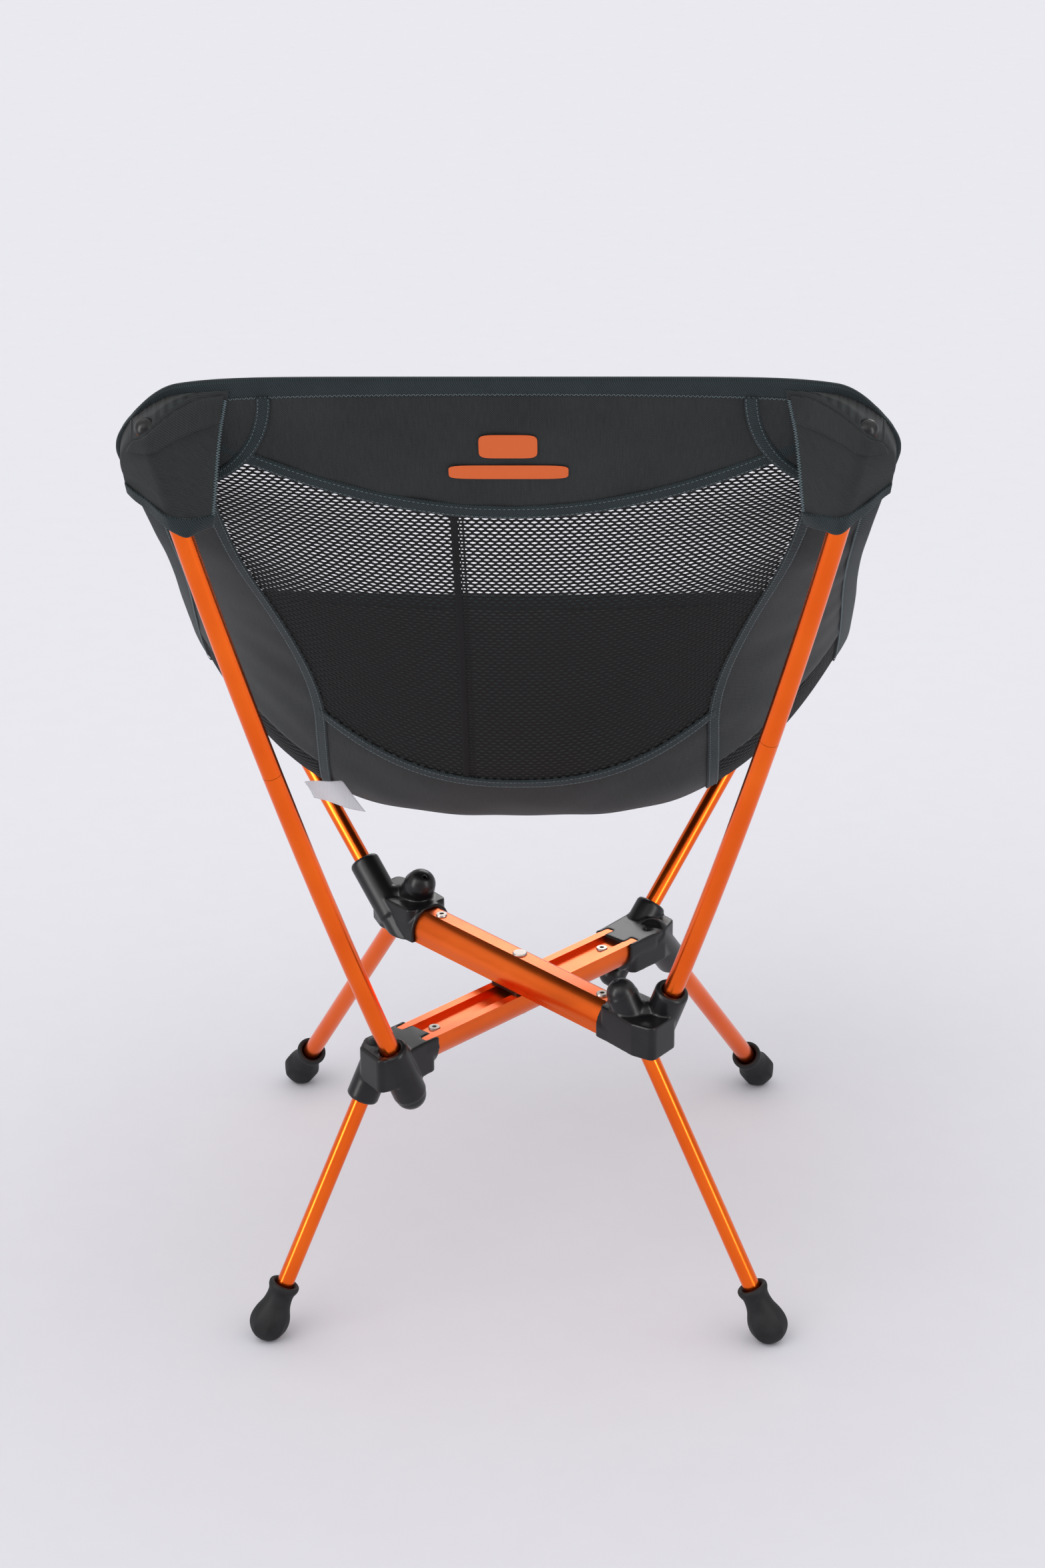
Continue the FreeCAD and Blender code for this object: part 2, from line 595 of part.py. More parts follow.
# ---------------------------------------------------------------- sling surface
# Cross-sections from the top edge (0) to the seat's front edge (9): the side edge's point, the middle's
# (y, z) and the power of the curve between them. High powers make a flat middle with steep sides.
SECTIONS = (
    (Vector(252, -243, 772), (-236, 789), 8.0),
    (Vector(249, -205, 712), (-190, 685), 2.4),
    (Vector(244, -152, 661), (-150, 608), 2.2),
    (Vector(243, -98, 624), (-110, 543), 2.2),
    (Vector(245, -42, 588), (-75, 482), 2.2),
    (Vector(249, 18, 551), (-40, 425), 2.5),
    (Vector(252, 80, 512), (15, 376), 3.2),
    (Vector(254, 140, 474), (95, 354), 3.4),
    (Vector(255, 203, 454), (180, 384), 2.6),
    (Vector(256, 266, 466), (262, 463), 2.0),
)
LAST = len(SECTIONS) - 1


def smooth_value(values, place):
    """A Catmull-Rom curve through evenly spaced values."""
    index = min(max(int(place), 0), len(values) - 2)
    t = place - index
    before = values[index - 1] if index > 0 else values[0] * 2 - values[1]
    start, end = values[index], values[index + 1]
    after = values[index + 2] if index + 2 < len(values) else end * 2 - start
    return (start * 2 + (end - before) * t + (before * 2 - start * 5 + end * 4 - after) * t ** 2
            + (start * 3 - before - end * 3 + after) * t ** 3) * 0.5


def sling_point(u, v):
    """A point of the sling: u runs -1..1 across, v runs 0..9 from the top edge to the front edge."""
    edge = smooth_value([section[0] for section in SECTIONS], v)
    mid_y = smooth_value([section[1][0] for section in SECTIONS], v)
    mid_z = smooth_value([section[1][1] for section in SECTIONS], v)
    power = smooth_value([section[2] for section in SECTIONS], v)
    share = 1.0 - abs(u) ** power
    return Vector(edge.x * u, edge.y + (mid_y - edge.y) * share, edge.z + (mid_z - edge.z) * share)


def sling_normal(u, v):
    """The unit normal on the sitter's side."""
    step = 0.004
    across = sling_point(u + step, v) - sling_point(u - step, v)
    along = sling_point(u, v + step) - sling_point(u, v - step)
    return across.cross(along).normalize()


def panel(label, u_low, u_high, v_low, v_high, thick, lift=0.0, grid=(23, 15), gap=None):
    """A sewn panel as a closed thin solid between four border curves of the sling.

    The borders are functions of the other parameter. `lift` moves the panel off the sling, to the outer side.
    """
    gap = size("seam_gap") if gap is None else gap
    u_trim, v_trim = gap / 500, gap / 160
    rows = []
    for i in range(grid[0]):
        row = []
        for j in range(grid[1]):
            s, t = i / (grid[0] - 1), j / (grid[1] - 1)
            u, v = 0.0, 1.0
            for _ in range(12):
                low, high = v_low(u) + v_trim, v_high(u) - v_trim
                v = low + (high - low) * t
                low, high = u_low(v) + u_trim, u_high(v) - u_trim
                u = low + (high - low) * s
            row.append((sling_point(u, v), sling_normal(u, v)))
        rows.append(row)
    faces = []
    for side in (0.5, -0.5):
        reach = side * thick - lift
        surface = Part.BSplineSurface()
        surface.interpolate([[point + normal * reach for point, normal in row] for row in rows])
        faces.append(surface.toShape())
    walls = [Part.makeRuledSurface(one, other) for one, other in zip(faces[0].Edges, faces[1].Edges)]
    shell = Part.makeShell(faces + walls)
    shell.sewShape()
    solid = Part.makeSolid(shell)
    if solid.Volume < 0:
        solid.reverse()
    return keep(solid_feature(label, solid, Placement(shift, Rotation())), label)


def always(value):
    return lambda other: value


def mesh_half(v):
    """Half the width of the mesh and of the seat base, where the wings are sewn on."""
    share = min(max((v - 1.15) / 3.65, 0.0), 1.0)
    return 0.80 - 0.22 * share * share * (3 - 2 * share)


def band_foot(u):
    return 1.0 - 0.62 * (u / 0.8) ** 2


def seat_seam(u):
    return 5.0 - 0.45 * (u / 0.58) ** 2


def top_hem(u):
    return 0.09 + 0.05 * u * u


EDGE, PATCH_FOOT, WING_FOOT, SEAT_FOLD, FRONT_HEM = 0.96, 1.15, 5.6, 7.3, 8.88
fabric, tape = size("fabric_thick"), size("binding_thick")
panel("sling_top_band", always(-0.8), always(0.8), top_hem, band_foot, fabric)
panel("sling_back_mesh", lambda v: -mesh_half(v), mesh_half, band_foot, seat_seam, fabric)
panel("sling_seat_base", lambda v: -mesh_half(v), mesh_half, seat_seam, always(SEAT_FOLD), fabric)
panel("sling_seat_front", always(-EDGE), always(EDGE), always(SEAT_FOLD), always(FRONT_HEM), fabric)
panel("binding_top", always(-EDGE), always(EDGE), always(0.0), top_hem, tape, grid=(21, 4))
panel("binding_front", always(-EDGE), always(EDGE), always(FRONT_HEM), always(LAST), tape, grid=(17, 4))
tape_lift = 1.7 * fabric
panel("seam_tape_seat", lambda v: -mesh_half(v) + 0.03, lambda v: mesh_half(v) - 0.03,
      lambda u: seat_seam(u) - 0.07, lambda u: seat_seam(u) + 0.07, fabric, tape_lift, (25, 5))


def sided(side, low, high):
    """A pair of border curves on one side of the sling, given as functions of v on its right."""
    if side == "right":
        return low, high
    return (lambda v: -high(v)), (lambda v: -low(v))


for side in ("left", "right"):
    low, high = sided(side, always(0.8), always(EDGE))
    panel("corner_patch_" + side, low, high, top_hem, always(PATCH_FOOT), fabric, grid=(9, 13))
    low, high = sided(side, mesh_half, always(EDGE))
    panel("sling_wing_" + side, low, high, always(PATCH_FOOT), always(WING_FOOT), fabric, grid=(11, 23))
    panel("sling_side_mesh_" + side, low, high, always(WING_FOOT), always(SEAT_FOLD), fabric, grid=(11, 15))
    low, high = sided(side, always(EDGE), always(1.0))
    panel("binding_side_" + side, low, high, always(0.0), always(LAST), tape, grid=(4, 31))
    low, high = sided(side, lambda v: mesh_half(v) - 0.02, lambda v: mesh_half(v) + 0.02)
    panel("seam_tape_" + side, low, high, always(1.2), always(SEAT_FOLD), fabric, tape_lift, (5, 41))


# ---------------------------------------------------------------- pole pockets and label
def pocket(label, alias, placement):
    """A sewn sleeve that closes over a pole's end; its origin is the pole's end, Z along the pole."""
    inner = size(alias) / 2 + size("pocket_play")
    outer = inner + size("pocket_wall")
    top, mouth = size(alias) / 2 + 1.0, -size("pocket_long")
    corners = [(inner, mouth), (outer, mouth), (outer, 0), (CROWN, top + size("pocket_wall")),
               (0, top + size("pocket_wall")), (0, top), (CROWN, top), (inner, 0)]
    bulge = math.sqrt(0.5)
    arcs = {2: (outer * bulge, (top + size("pocket_wall")) * bulge), 6: (inner * bulge, top * bulge)}
    return keep(round_piece(label, corners, placement, arcs), label)


for side, bow in BOWS.items():
    pocket("pole_pocket_back_" + side, "thick_tube_dia", bow.placement(bow.turn_at(1)))
for side, run in SEAT_POLE_RUNS.items():
    pocket("pole_pocket_front_" + side, "thin_tube_dia", facing(run.outer, run.along))

LABEL_CORNERS = ((0, 0), (30, 0), (46, -24), (20, -19), (8, -10))
label_edge = Part.makePolygon([Vector(x, 0, z) for x, z in LABEL_CORNERS + LABEL_CORNERS[:1]])
LABEL_THICK, LABEL_STANDOFF, LABEL_DROP = 0.6, 12.0, 6.0
LABEL_U, LABEL_V = -0.62, 5.75
label_plate = Part.Face(label_edge).extrude(Vector(0, LABEL_THICK, 0))
label_place = (sling_point(LABEL_U, LABEL_V) - sling_normal(LABEL_U, LABEL_V) * LABEL_STANDOFF
               - Vector(0, 0, LABEL_DROP))
keep(solid_feature("care_label", label_plate, Placement(label_place + shift, Rotation())), "care_label")


# ---------------------------------------------------------------- check and write
doc.recompute()
failed = [thing.Name for thing in doc.Objects if "Invalid" in thing.State or "Error" in thing.State]
if failed:
    raise RuntimeError("objects failed to recompute: %s" % failed)
os.makedirs("parts", exist_ok=True)
for piece in nodes:
    shape = piece.Shape
    if shape.isNull() or not shape.isValid() or shape.Volume < 1.0:
        raise RuntimeError("%s has no valid shape" % piece.Label)
for piece in nodes:
    piece.Shape.exportStep("parts/%s.step" % piece.Label)
    print("%-28s solids %d  volume %9.1f" % (piece.Label, len(piece.Shape.Solids), piece.Shape.Volume))
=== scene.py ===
"""Looks of the ultralight backpacking chair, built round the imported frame. Metres; the sitter faces +Y."""
import json
import math

import bpy
import numpy as np
from mathutils import Matrix, Vector


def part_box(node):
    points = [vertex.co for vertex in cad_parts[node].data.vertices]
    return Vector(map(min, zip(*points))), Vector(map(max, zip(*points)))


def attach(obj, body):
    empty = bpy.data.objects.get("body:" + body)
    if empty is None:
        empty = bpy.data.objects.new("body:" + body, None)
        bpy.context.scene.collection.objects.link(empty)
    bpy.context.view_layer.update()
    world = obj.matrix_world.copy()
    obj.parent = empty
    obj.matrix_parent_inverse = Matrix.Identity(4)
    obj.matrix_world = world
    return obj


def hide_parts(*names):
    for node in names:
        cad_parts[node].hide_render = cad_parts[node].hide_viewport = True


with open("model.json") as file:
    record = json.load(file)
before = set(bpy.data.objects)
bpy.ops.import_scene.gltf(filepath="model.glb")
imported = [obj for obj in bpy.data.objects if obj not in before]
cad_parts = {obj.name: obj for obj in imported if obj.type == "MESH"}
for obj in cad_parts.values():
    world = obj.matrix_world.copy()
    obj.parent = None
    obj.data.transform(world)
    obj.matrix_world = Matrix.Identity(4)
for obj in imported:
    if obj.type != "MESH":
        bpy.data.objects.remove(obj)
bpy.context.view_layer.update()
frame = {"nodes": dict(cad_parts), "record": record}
MM = 0.001
PIVOT = np.array([0.0005, -0.0187, 0.0])  # the centre rivet's axis on the ground


# ---------------------------------------------------------------- camera, light and floor
CAMERA_PLACE = (0.05723, -2.28882, 1.38189)  # from the centre rivet's axis
CAMERA_TURNS = (0.402785, -0.0237267, -0.0068965)  # pitch, yaw and roll
CAMERA_LENS = 75.91


def place_camera():
    """The camera looks down at the chair from behind, a little to its right."""
    pitch, yaw, roll = CAMERA_TURNS
    forward = Vector((math.sin(yaw) * math.cos(pitch), math.cos(yaw) * math.cos(pitch), -math.sin(pitch)))
    level = Vector((math.cos(yaw), -math.sin(yaw), 0))
    right = level * math.cos(roll) + level.cross(forward) * math.sin(roll)
    up = right.cross(forward)
    data = bpy.data.cameras.new("camera")
    data.sensor_fit, data.sensor_height = "VERTICAL", 36.0
    data.lens = CAMERA_LENS
    data.clip_end = 60
    camera = bpy.data.objects.new("camera", data)
    bpy.context.scene.collection.objects.link(camera)
    turn = Matrix((right, up, -forward)).transposed().to_4x4()
    camera.matrix_world = Matrix.Translation(Vector(PIVOT) + Vector(CAMERA_PLACE)) @ turn
    bpy.context.scene.camera = camera


def aimed(name, data, place, target):
    light = bpy.data.objects.new(name, data)
    bpy.context.scene.collection.objects.link(light)
    aim = (Vector(target) - Vector(place)).to_track_quat("-Z", "Y")
    light.matrix_world = Matrix.Translation(place) @ aim.to_matrix().to_4x4()
    return light


def strip_light(name, place, size, power):
    """A softbox that shows in glossy surfaces only, so that the floor stays even."""
    data = bpy.data.lights.new(name, "AREA")
    data.shape, data.size, data.size_y = "RECTANGLE", size[0], size[1]
    data.energy = power
    aimed(name, data, place, (0, 0, 0.4)).visible_diffuse = False


def soft_sun(name, place, strength, width):
    data = bpy.data.lights.new(name, "SUN")
    data.energy, data.angle = strength, math.radians(width)
    aimed(name, data, place, (0, 0, 0))


def studio():
    """An even pale studio: bright above and darker round the horizon."""
    bpy.context.scene.view_settings.view_transform = "Standard"
    world = bpy.data.worlds.new("studio")
    world.use_nodes = True
    tree = world.node_tree
    start, split = tree.nodes.new("ShaderNodeTexCoord"), tree.nodes.new("ShaderNodeSeparateXYZ")
    ramp = tree.nodes.new("ShaderNodeValToRGB")
    tree.links.new(start.outputs["Generated"], split.inputs["Vector"])
    tree.links.new(split.outputs["Z"], ramp.inputs["Fac"])
    tree.links.new(ramp.outputs["Color"], tree.nodes["Background"].inputs["Color"])
    stops = ramp.color_ramp.elements
    stops[0].position, stops[0].color = 0.0, (0.42, 0.42, 0.45, 1)
    stops[1].position, stops[1].color = 0.75, (1.0, 1.0, 1.0, 1)
    tree.nodes["Background"].inputs["Strength"].default_value = 0.92
    bpy.context.scene.world = world
    soft_sun("key", (-1.5, -2.0, 2.6), 0.62, 50)
    soft_sun("fill", (2.0, -1.0, 2.2), 0.28, 70)
    strip_light("strip_left", (-2.0, -1.2, 1.0), (0.5, 2.2), 34)
    strip_light("strip_right", (1.9, -1.6, 0.9), (0.35, 2.2), 26)
    strip_light("strip_behind", (0.5, 2.6, 1.6), (1.6, 0.8), 20)


# ---------------------------------------------------------------- node materials
class Shader:
    """A short way to write a node material."""

    def __init__(self, name, colour, roughness, metallic=0.0, **more):
        self.material = bpy.data.materials.new(name)
        self.material.use_nodes = True
        self.tree = self.material.node_tree
        self.surface = self.tree.nodes["Principled BSDF"]
        self.surface.inputs["Base Color"].default_value = (*colour, 1)
        self.surface.inputs["Roughness"].default_value = roughness
        self.surface.inputs["Metallic"].default_value = metallic
        for key, value in more.items():
            self.surface.inputs[key.replace("_", " ")].default_value = value

    def node(self, kind, **settings):
        made = self.tree.nodes.new(kind)
        for key, value in settings.items():
            if hasattr(made, key):
                setattr(made, key, value)
            else:
                made.inputs[key.replace("_", " ")].default_value = value
        return made

    def link(self, output, target):
        self.tree.links.new(output, target)

    def place(self, kind="Object", scale=(1, 1, 1), turn=(0, 0, 0)):
        """Texture coordinates, scaled and turned."""
        start = self.node("ShaderNodeTexCoord")
        mapping = self.node("ShaderNodeMapping")
        mapping.inputs["Scale"].default_value = scale
        mapping.inputs["Rotation"].default_value = turn
        self.link(start.outputs[kind], mapping.inputs["Vector"])
        return mapping.outputs["Vector"]

    def noise(self, where, scale, detail=4.0, rough=0.55):
        made = self.node("ShaderNodeTexNoise", Scale=scale, Detail=detail, Roughness=rough)
        self.link(where, made.inputs["Vector"])
        return made.outputs["Fac"]

    def wave(self, where, scale, direction="X", profile="SIN", distortion=0.0):
        made = self.node("ShaderNodeTexWave", bands_direction=direction, wave_profile=profile,
                         Scale=scale, Distortion=distortion)
        self.link(where, made.inputs["Vector"])
        return made.outputs["Fac"]

    def math(self, operation, one, two):
        made = self.node("ShaderNodeMath", operation=operation)
        for socket, value in zip(made.inputs, (one, two)):
            if isinstance(value, (int, float)):
                socket.default_value = value
            else:
                self.link(value, socket)
        return made.outputs[0]

    def ramp(self, factor, dark, light, low=0.3, high=0.7, target="Base Color"):
        """Two tones across a pattern, sent to the shader."""
        made = self.node("ShaderNodeValToRGB")
        stops = made.color_ramp.elements
        stops[0].position, stops[1].position = low, high
        stops[0].color, stops[1].color = (*dark, 1), (*light, 1)
        self.link(factor, made.inputs["Fac"])
        if target:
            self.link(made.outputs["Color"], self.surface.inputs[target])
        return made.outputs["Color"]

    def rough(self, factor, low, high):
        made = self.node("ShaderNodeMapRange")
        made.inputs["To Min"].default_value, made.inputs["To Max"].default_value = low, high
        self.link(factor, made.inputs["Value"])
        self.link(made.outputs["Result"], self.surface.inputs["Roughness"])

    def bump(self, height, distance, strength=1.0):
        made = self.node("ShaderNodeBump", Strength=strength, Distance=distance)
        self.link(height, made.inputs["Height"])
        self.link(made.outputs["Normal"], self.surface.inputs["Normal"])


def anodised(name, dark, light, roughness, streak):
    """Dyed aluminium: a metal with faint drawing lines and slow changes of tone."""
    made = Shader(name, light, roughness, 1.0, Coat_Weight=0.12, Coat_Roughness=0.1)
    where = made.place("Object")
    slow = made.noise(where, 9.0, 3.0)
    made.ramp(slow, dark, light, 0.35, 0.65)
    lines = made.noise(made.place("Object", streak), 260.0, 3.0)
    made.rough(lines, roughness - 0.03, roughness + 0.04)
    made.bump(lines, 0.00001, 0.08)
    return made.material


def moulded_plastic(name, colour, roughness):
    """Black glass-filled plastic with a fine spark texture."""
    made = Shader(name, colour, roughness, IOR=1.5, Specular_IOR_Level=0.34)
    where = made.place("Object")
    grain = made.noise(where, 2600.0, 2.0)
    slow = made.noise(where, 60.0, 3.0)
    made.ramp(slow, [c * 0.75 for c in colour], [c * 1.45 for c in colour], 0.3, 0.75)
    made.rough(grain, roughness - 0.06, roughness + 0.1)
    made.bump(grain, 0.00004, 0.35)
    return made.material


def rubber(name, colour):
    made = Shader(name, colour, 0.62, Specular_IOR_Level=0.3)
    where = made.place("Object")
    dust = made.noise(where, 140.0, 6.0, 0.7)
    made.ramp(dust, [c * 0.7 for c in colour], [c * 1.9 for c in colour], 0.35, 0.8)
    made.rough(dust, 0.5, 0.78)
    made.bump(made.noise(where, 900.0, 3.0), 0.00012, 0.5)
    return made.material


def bright_metal(name, colour, roughness):
    made = Shader(name, colour, roughness, 1.0)
    where = made.place("Object")
    marks = made.noise(where, 420.0, 5.0, 0.7)
    made.ramp(marks, [c * 0.72 for c in colour], colour, 0.3, 0.6)
    made.rough(marks, roughness - 0.08, roughness + 0.2)
    made.bump(marks, 0.00004, 0.4)
    return made.material


def oxford(name, dark, light, pitch=0.9):
    """Coated cloth: two sets of threads that cross, a diagonal line and slow changes of tone."""
    made = Shader(name, light, 0.72, Sheen_Weight=0.10, Sheen_Roughness=0.45, Specular_IOR_Level=0.22)
    scale = 0.314 / (pitch * MM)
    where = made.place("UV")
    warp = made.wave(where, scale, "X", distortion=0.25)
    weft = made.wave(where, scale, "Y", distortion=0.25)
    twill = made.wave(made.place("UV", turn=(0, 0, math.radians(45))), scale * 0.72, "X", distortion=0.4)
    threads = made.math("MULTIPLY", made.math("ADD", warp, weft), 0.5)
    cloth = made.math("ADD", made.math("MULTIPLY", threads, 0.45), made.math("MULTIPLY", twill, 0.55))
    slub = made.noise(made.place("UV", (1, 0.08, 1)), 900.0, 3.0)
    slow = made.noise(made.place("Object"), 14.0, 4.0)
    pattern = made.math("ADD", made.math("MULTIPLY", cloth, 0.62), made.math("MULTIPLY", slub, 0.38))
    pattern = made.math("ADD", pattern, made.math("MULTIPLY", slow, 0.35))
    made.ramp(pattern, dark, light, 0.42, 0.92)
    made.rough(cloth, 0.62, 0.85)
    made.bump(made.math("ADD", cloth, made.math("MULTIPLY", slow, 0.6)), 0.00022, 0.55)
    return made.material


def ribbed_tape(name, dark, light, pitch=1.5):
    """Woven binding: slanting ribs across the tape and fine threads along it."""
    made = Shader(name, light, 0.75, Sheen_Weight=0.15, Sheen_Roughness=0.4, Specular_IOR_Level=0.22)
    scale = 0.314 / (pitch * MM)
    ribs = made.wave(made.place("UV", turn=(0, 0, math.radians(28))), scale, "X", distortion=0.5)
    fine = made.wave(made.place("UV"), scale * 1.9, "Y", distortion=0.3)
    slow = made.noise(made.place("Object"), 55.0, 3.0)
    pattern = made.math("ADD", made.math("MULTIPLY", ribs, 0.6), made.math("MULTIPLY", fine, 0.25))
    pattern = made.math("ADD", pattern, made.math("MULTIPLY", slow, 0.3))
    made.ramp(pattern, dark, light, 0.3, 0.95)
    made.rough(ribs, 0.6, 0.85)
    made.bump(made.math("ADD", ribs, made.math("MULTIPLY", fine, 0.4)), 0.00035, 0.8)
    return made.material


def thread(name, dark, light):
    made = Shader(name, light, 0.55, Sheen_Weight=0.3)
    twist = made.noise(made.place("Object"), 1500.0, 2.0)
    made.ramp(twist, dark, light, 0.35, 0.7)
    made.bump(twist, 0.0001, 0.6)
    return made.material


def knit(name, dark, light):
    """Knitted mesh yarn."""
    made = Shader(name, light, 0.6, Specular_IOR_Level=0.18)
    yarn = made.noise(made.place("Object"), 1100.0, 3.0)
    made.ramp(yarn, dark, light, 0.3, 0.75)
    made.rough(yarn, 0.5, 0.75)
    made.bump(yarn, 0.00015, 0.7)
    return made.material


def label_film(name):
    made = Shader(name, (0.80, 0.81, 0.84), 0.5, Transmission_Weight=0.25, IOR=1.2)
    weave = made.wave(made.place("Object"), 300.0, "X", distortion=0.6)
    made.ramp(weave, (0.72, 0.73, 0.77), (0.86, 0.87, 0.90), 0.3, 0.8)
    made.bump(weave, 0.00005, 0.4)
    return made.material


def floor_material():
    made = Shader("floor_paper", (0.80, 0.795, 0.845), 0.95, Specular_IOR_Level=0.0)
    grain = made.noise(made.place("Object"), 30.0, 3.0)
    made.ramp(grain, (0.795, 0.79, 0.84), (0.805, 0.80, 0.85), 0.3, 0.7)
    return made.material


TUBE = anodised("tube_orange", (0.90, 0.120, 0.008), (1.0, 0.160, 0.012), 0.24, (1, 1, 0.02))
BAR = anodised("bar_orange", (0.74, 0.105, 0.010), (0.84, 0.140, 0.016), 0.34, (0.3, 0.3, 1))
HUB = moulded_plastic("hub_black", (0.007, 0.007, 0.008), 0.32)
FOOT = rubber("foot_black", (0.009, 0.009, 0.010))
RIVET = bright_metal("rivet_bright", (0.52, 0.47, 0.43), 0.34)
FERRULE = bright_metal("ferrule_plain", (0.74, 0.74, 0.75), 0.3)
CLOTH = oxford("cloth_charcoal", (0.007, 0.0085, 0.009), (0.036, 0.041, 0.0415))
TAPE = ribbed_tape("tape_teal_grey", (0.004, 0.009, 0.011), (0.036, 0.055, 0.060))
YARN = knit("mesh_black", (0.003, 0.003, 0.0035), (0.013, 0.013, 0.014))
THREAD = thread("thread_teal", (0.05, 0.085, 0.095), (0.16, 0.23, 0.25))
LABEL = label_film("label_white")
CORD = rubber("cord_black", (0.03, 0.03, 0.03))


# ---------------------------------------------------------------- the sling's surface
# The same cross-sections as the frame's sling, top edge first: side edge, middle (y, z), power of the curve.
SECTIONS = (
    ((0.252, -0.243, 0.772), (-0.236, 0.789), 8.0),
    ((0.249, -0.205, 0.712), (-0.190, 0.685), 2.4),
    ((0.244, -0.152, 0.661), (-0.150, 0.608), 2.2),
    ((0.243, -0.098, 0.624), (-0.110, 0.543), 2.2),
    ((0.245, -0.042, 0.588), (-0.075, 0.482), 2.2),
    ((0.249, 0.018, 0.551), (-0.040, 0.425), 2.5),
    ((0.252, 0.080, 0.512), (0.015, 0.376), 3.2),
    ((0.254, 0.140, 0.474), (0.095, 0.354), 3.4),
    ((0.255, 0.203, 0.454), (0.180, 0.384), 2.6),
    ((0.256, 0.266, 0.466), (0.262, 0.463), 2.0),
)
LAST = len(SECTIONS) - 1
HALF_WIDTH = 0.3  # metres of cloth for one unit of u


def smooth_value(values, place):
    """A Catmull-Rom curve through evenly spaced values, at many places at once."""
    values = np.asarray(values, float)
    padded = np.concatenate([2 * values[:1] - values[1:2], values, 2 * values[-1:] - values[-2:-1]])
    index = np.clip(np.floor(place).astype(int), 0, len(values) - 2)
    t = place - index
    if values.ndim > 1:
        t = t[..., None]
    before, start, end, after = (padded[index + k] for k in range(4))
    return (start * 2 + (end - before) * t + (before * 2 - start * 5 + end * 4 - after) * t ** 2
            + (start * 3 - before - end * 3 + after) * t ** 3) * 0.5


CORNER_U, CORNER_V = 0.17, 0.62  # size of the rounded top corners


def round_corners(u, v):
    """Squeeze the square top corners of the (u, v) field into round ones."""
    u, v = np.broadcast_arrays(np.asarray(u, float), np.asarray(v, float))
    a = (np.abs(u) - 1 + CORNER_U) / CORNER_U
    b = (CORNER_V - v) / CORNER_V
    near = (a > 0) & (b > 0)
    a1, b1 = np.clip(a, 0, 1.3), np.clip(b, 0, 1.3)
    across = a1 * np.sqrt(1 - b1 ** 2 / 2)
    down = b1 * np.sqrt(1 - a1 ** 2 / 2)
    round_u = np.sign(u) * (1 - CORNER_U + CORNER_U * across)
    return np.where(near, round_u, u), np.where(near, CORNER_V * (1 - down), v)


def sling_point(u, v):
    """Points of the sling: u runs -1..1 across, v runs 0..9 from the top edge to the front edge."""
    u, v = round_corners(u, v)
    edge = smooth_value([s[0] for s in SECTIONS], v)
    middle = smooth_value([s[1] for s in SECTIONS], v)
    power = smooth_value([s[2] for s in SECTIONS], v)
    share = 1 - np.abs(u) ** power
    flare = 1 + 0.024 * np.exp(-((v - 0.4) / 0.5) ** 2)
    point = np.stack([edge[..., 0] * flare * u, edge[..., 1] + (middle[..., 0] - edge[..., 1]) * share,
                      edge[..., 2] + (middle[..., 1] - edge[..., 2]) * share], -1)
    return point + PIVOT


def sling_normal(u, v):
    """Unit normals on the sitter's side."""
    u, v = round_corners(u, v)
    u, v = np.clip(u, -0.985, 0.985), np.maximum(v, 0.01)
    step = 0.004
    plain = (np.abs(u) > 1 - CORNER_U) & (v < CORNER_V)
    u, v = np.where(plain, np.sign(u) * (1 - CORNER_U - 0.01), u), v
    across = sling_point(u + step, v) - sling_point(u - step, v)
    along = sling_point(u, v + step) - sling_point(u, v - step)
    normal = np.cross(across, along)
    return normal / np.linalg.norm(normal, axis=-1, keepdims=True)


def cloth_run(v):
    """Metres of cloth from the top edge down to v, along the middle."""
    places = np.linspace(0, LAST, 181)
    line = sling_point(np.zeros_like(places), places)
    steps = np.linalg.norm(np.diff(line, axis=0), axis=1)
    return np.interp(v, places, np.concatenate([[0], np.cumsum(steps)]))


def always(value):
    return lambda other: value + 0.0 * other


def mesh_half(v):
    """Half the width of the mesh and of the seat base, where the wings are sewn on."""
    share = np.clip((v - 1.15) / 3.65, 0.0, 1.0)
    return 0.80 - 0.22 * share * share * (3 - 2 * share)


def band_foot(u):
    return 1.0 - 0.62 * (u / 0.8) ** 2


def seat_seam(u):
    return 5.0 - 0.45 * (u / 0.58) ** 2


def top_hem(u):
    return 0.09 + 0.05 * u * u


EDGE, WING_FOOT, SEAT_FOLD, FRONT_HEM = 0.96, 5.6, 7.3, 8.88


def panel_places(u_low, u_high, v_low, v_high, count):
    """A grid of (u, v) between four border curves."""
    s, t = np.meshgrid(np.linspace(0, 1, count[0]), np.linspace(0, 1, count[1]), indexing="ij")
    u, v = np.zeros_like(s), np.ones_like(s)
    for _ in range(14):
        v = v_low(u) + (v_high(u) - v_low(u)) * t
        u = u_low(v) + (u_high(v) - u_low(v)) * s
    return u, v


# ---------------------------------------------------------------- making meshes
def new_piece(name, points, faces, material, uv=None, smooth=True):
    mesh = bpy.data.meshes.new(name)
    mesh.from_pydata([tuple(p) for p in points], [], faces)
    mesh.validate()
    if uv is not None:
        layer = mesh.uv_layers.new(name="cloth")
        corner = np.zeros(len(mesh.loops), int)
        mesh.loops.foreach_get("vertex_index", corner)
        layer.data.foreach_set("uv", np.asarray(uv, float)[corner].ravel())
    mesh.materials.append(material)
    mesh.polygons.foreach_set("use_smooth", [smooth] * len(mesh.polygons))
    made = bpy.data.objects.new(name, mesh)
    bpy.context.scene.collection.objects.link(made)
    return made


def grid_faces(rows, columns, start=0, flip=False, wrap=False):
    """Quads of a grid of points stored row after row."""
    faces = []
    for i in range(rows if wrap else rows - 1):
        for j in range(columns - 1):
            a, b = i * columns + j, ((i + 1) % rows) * columns + j
            face = (start + a, start + b, start + b + 1, start + a + 1)
            faces.append(face[::-1] if flip else face)
    return faces


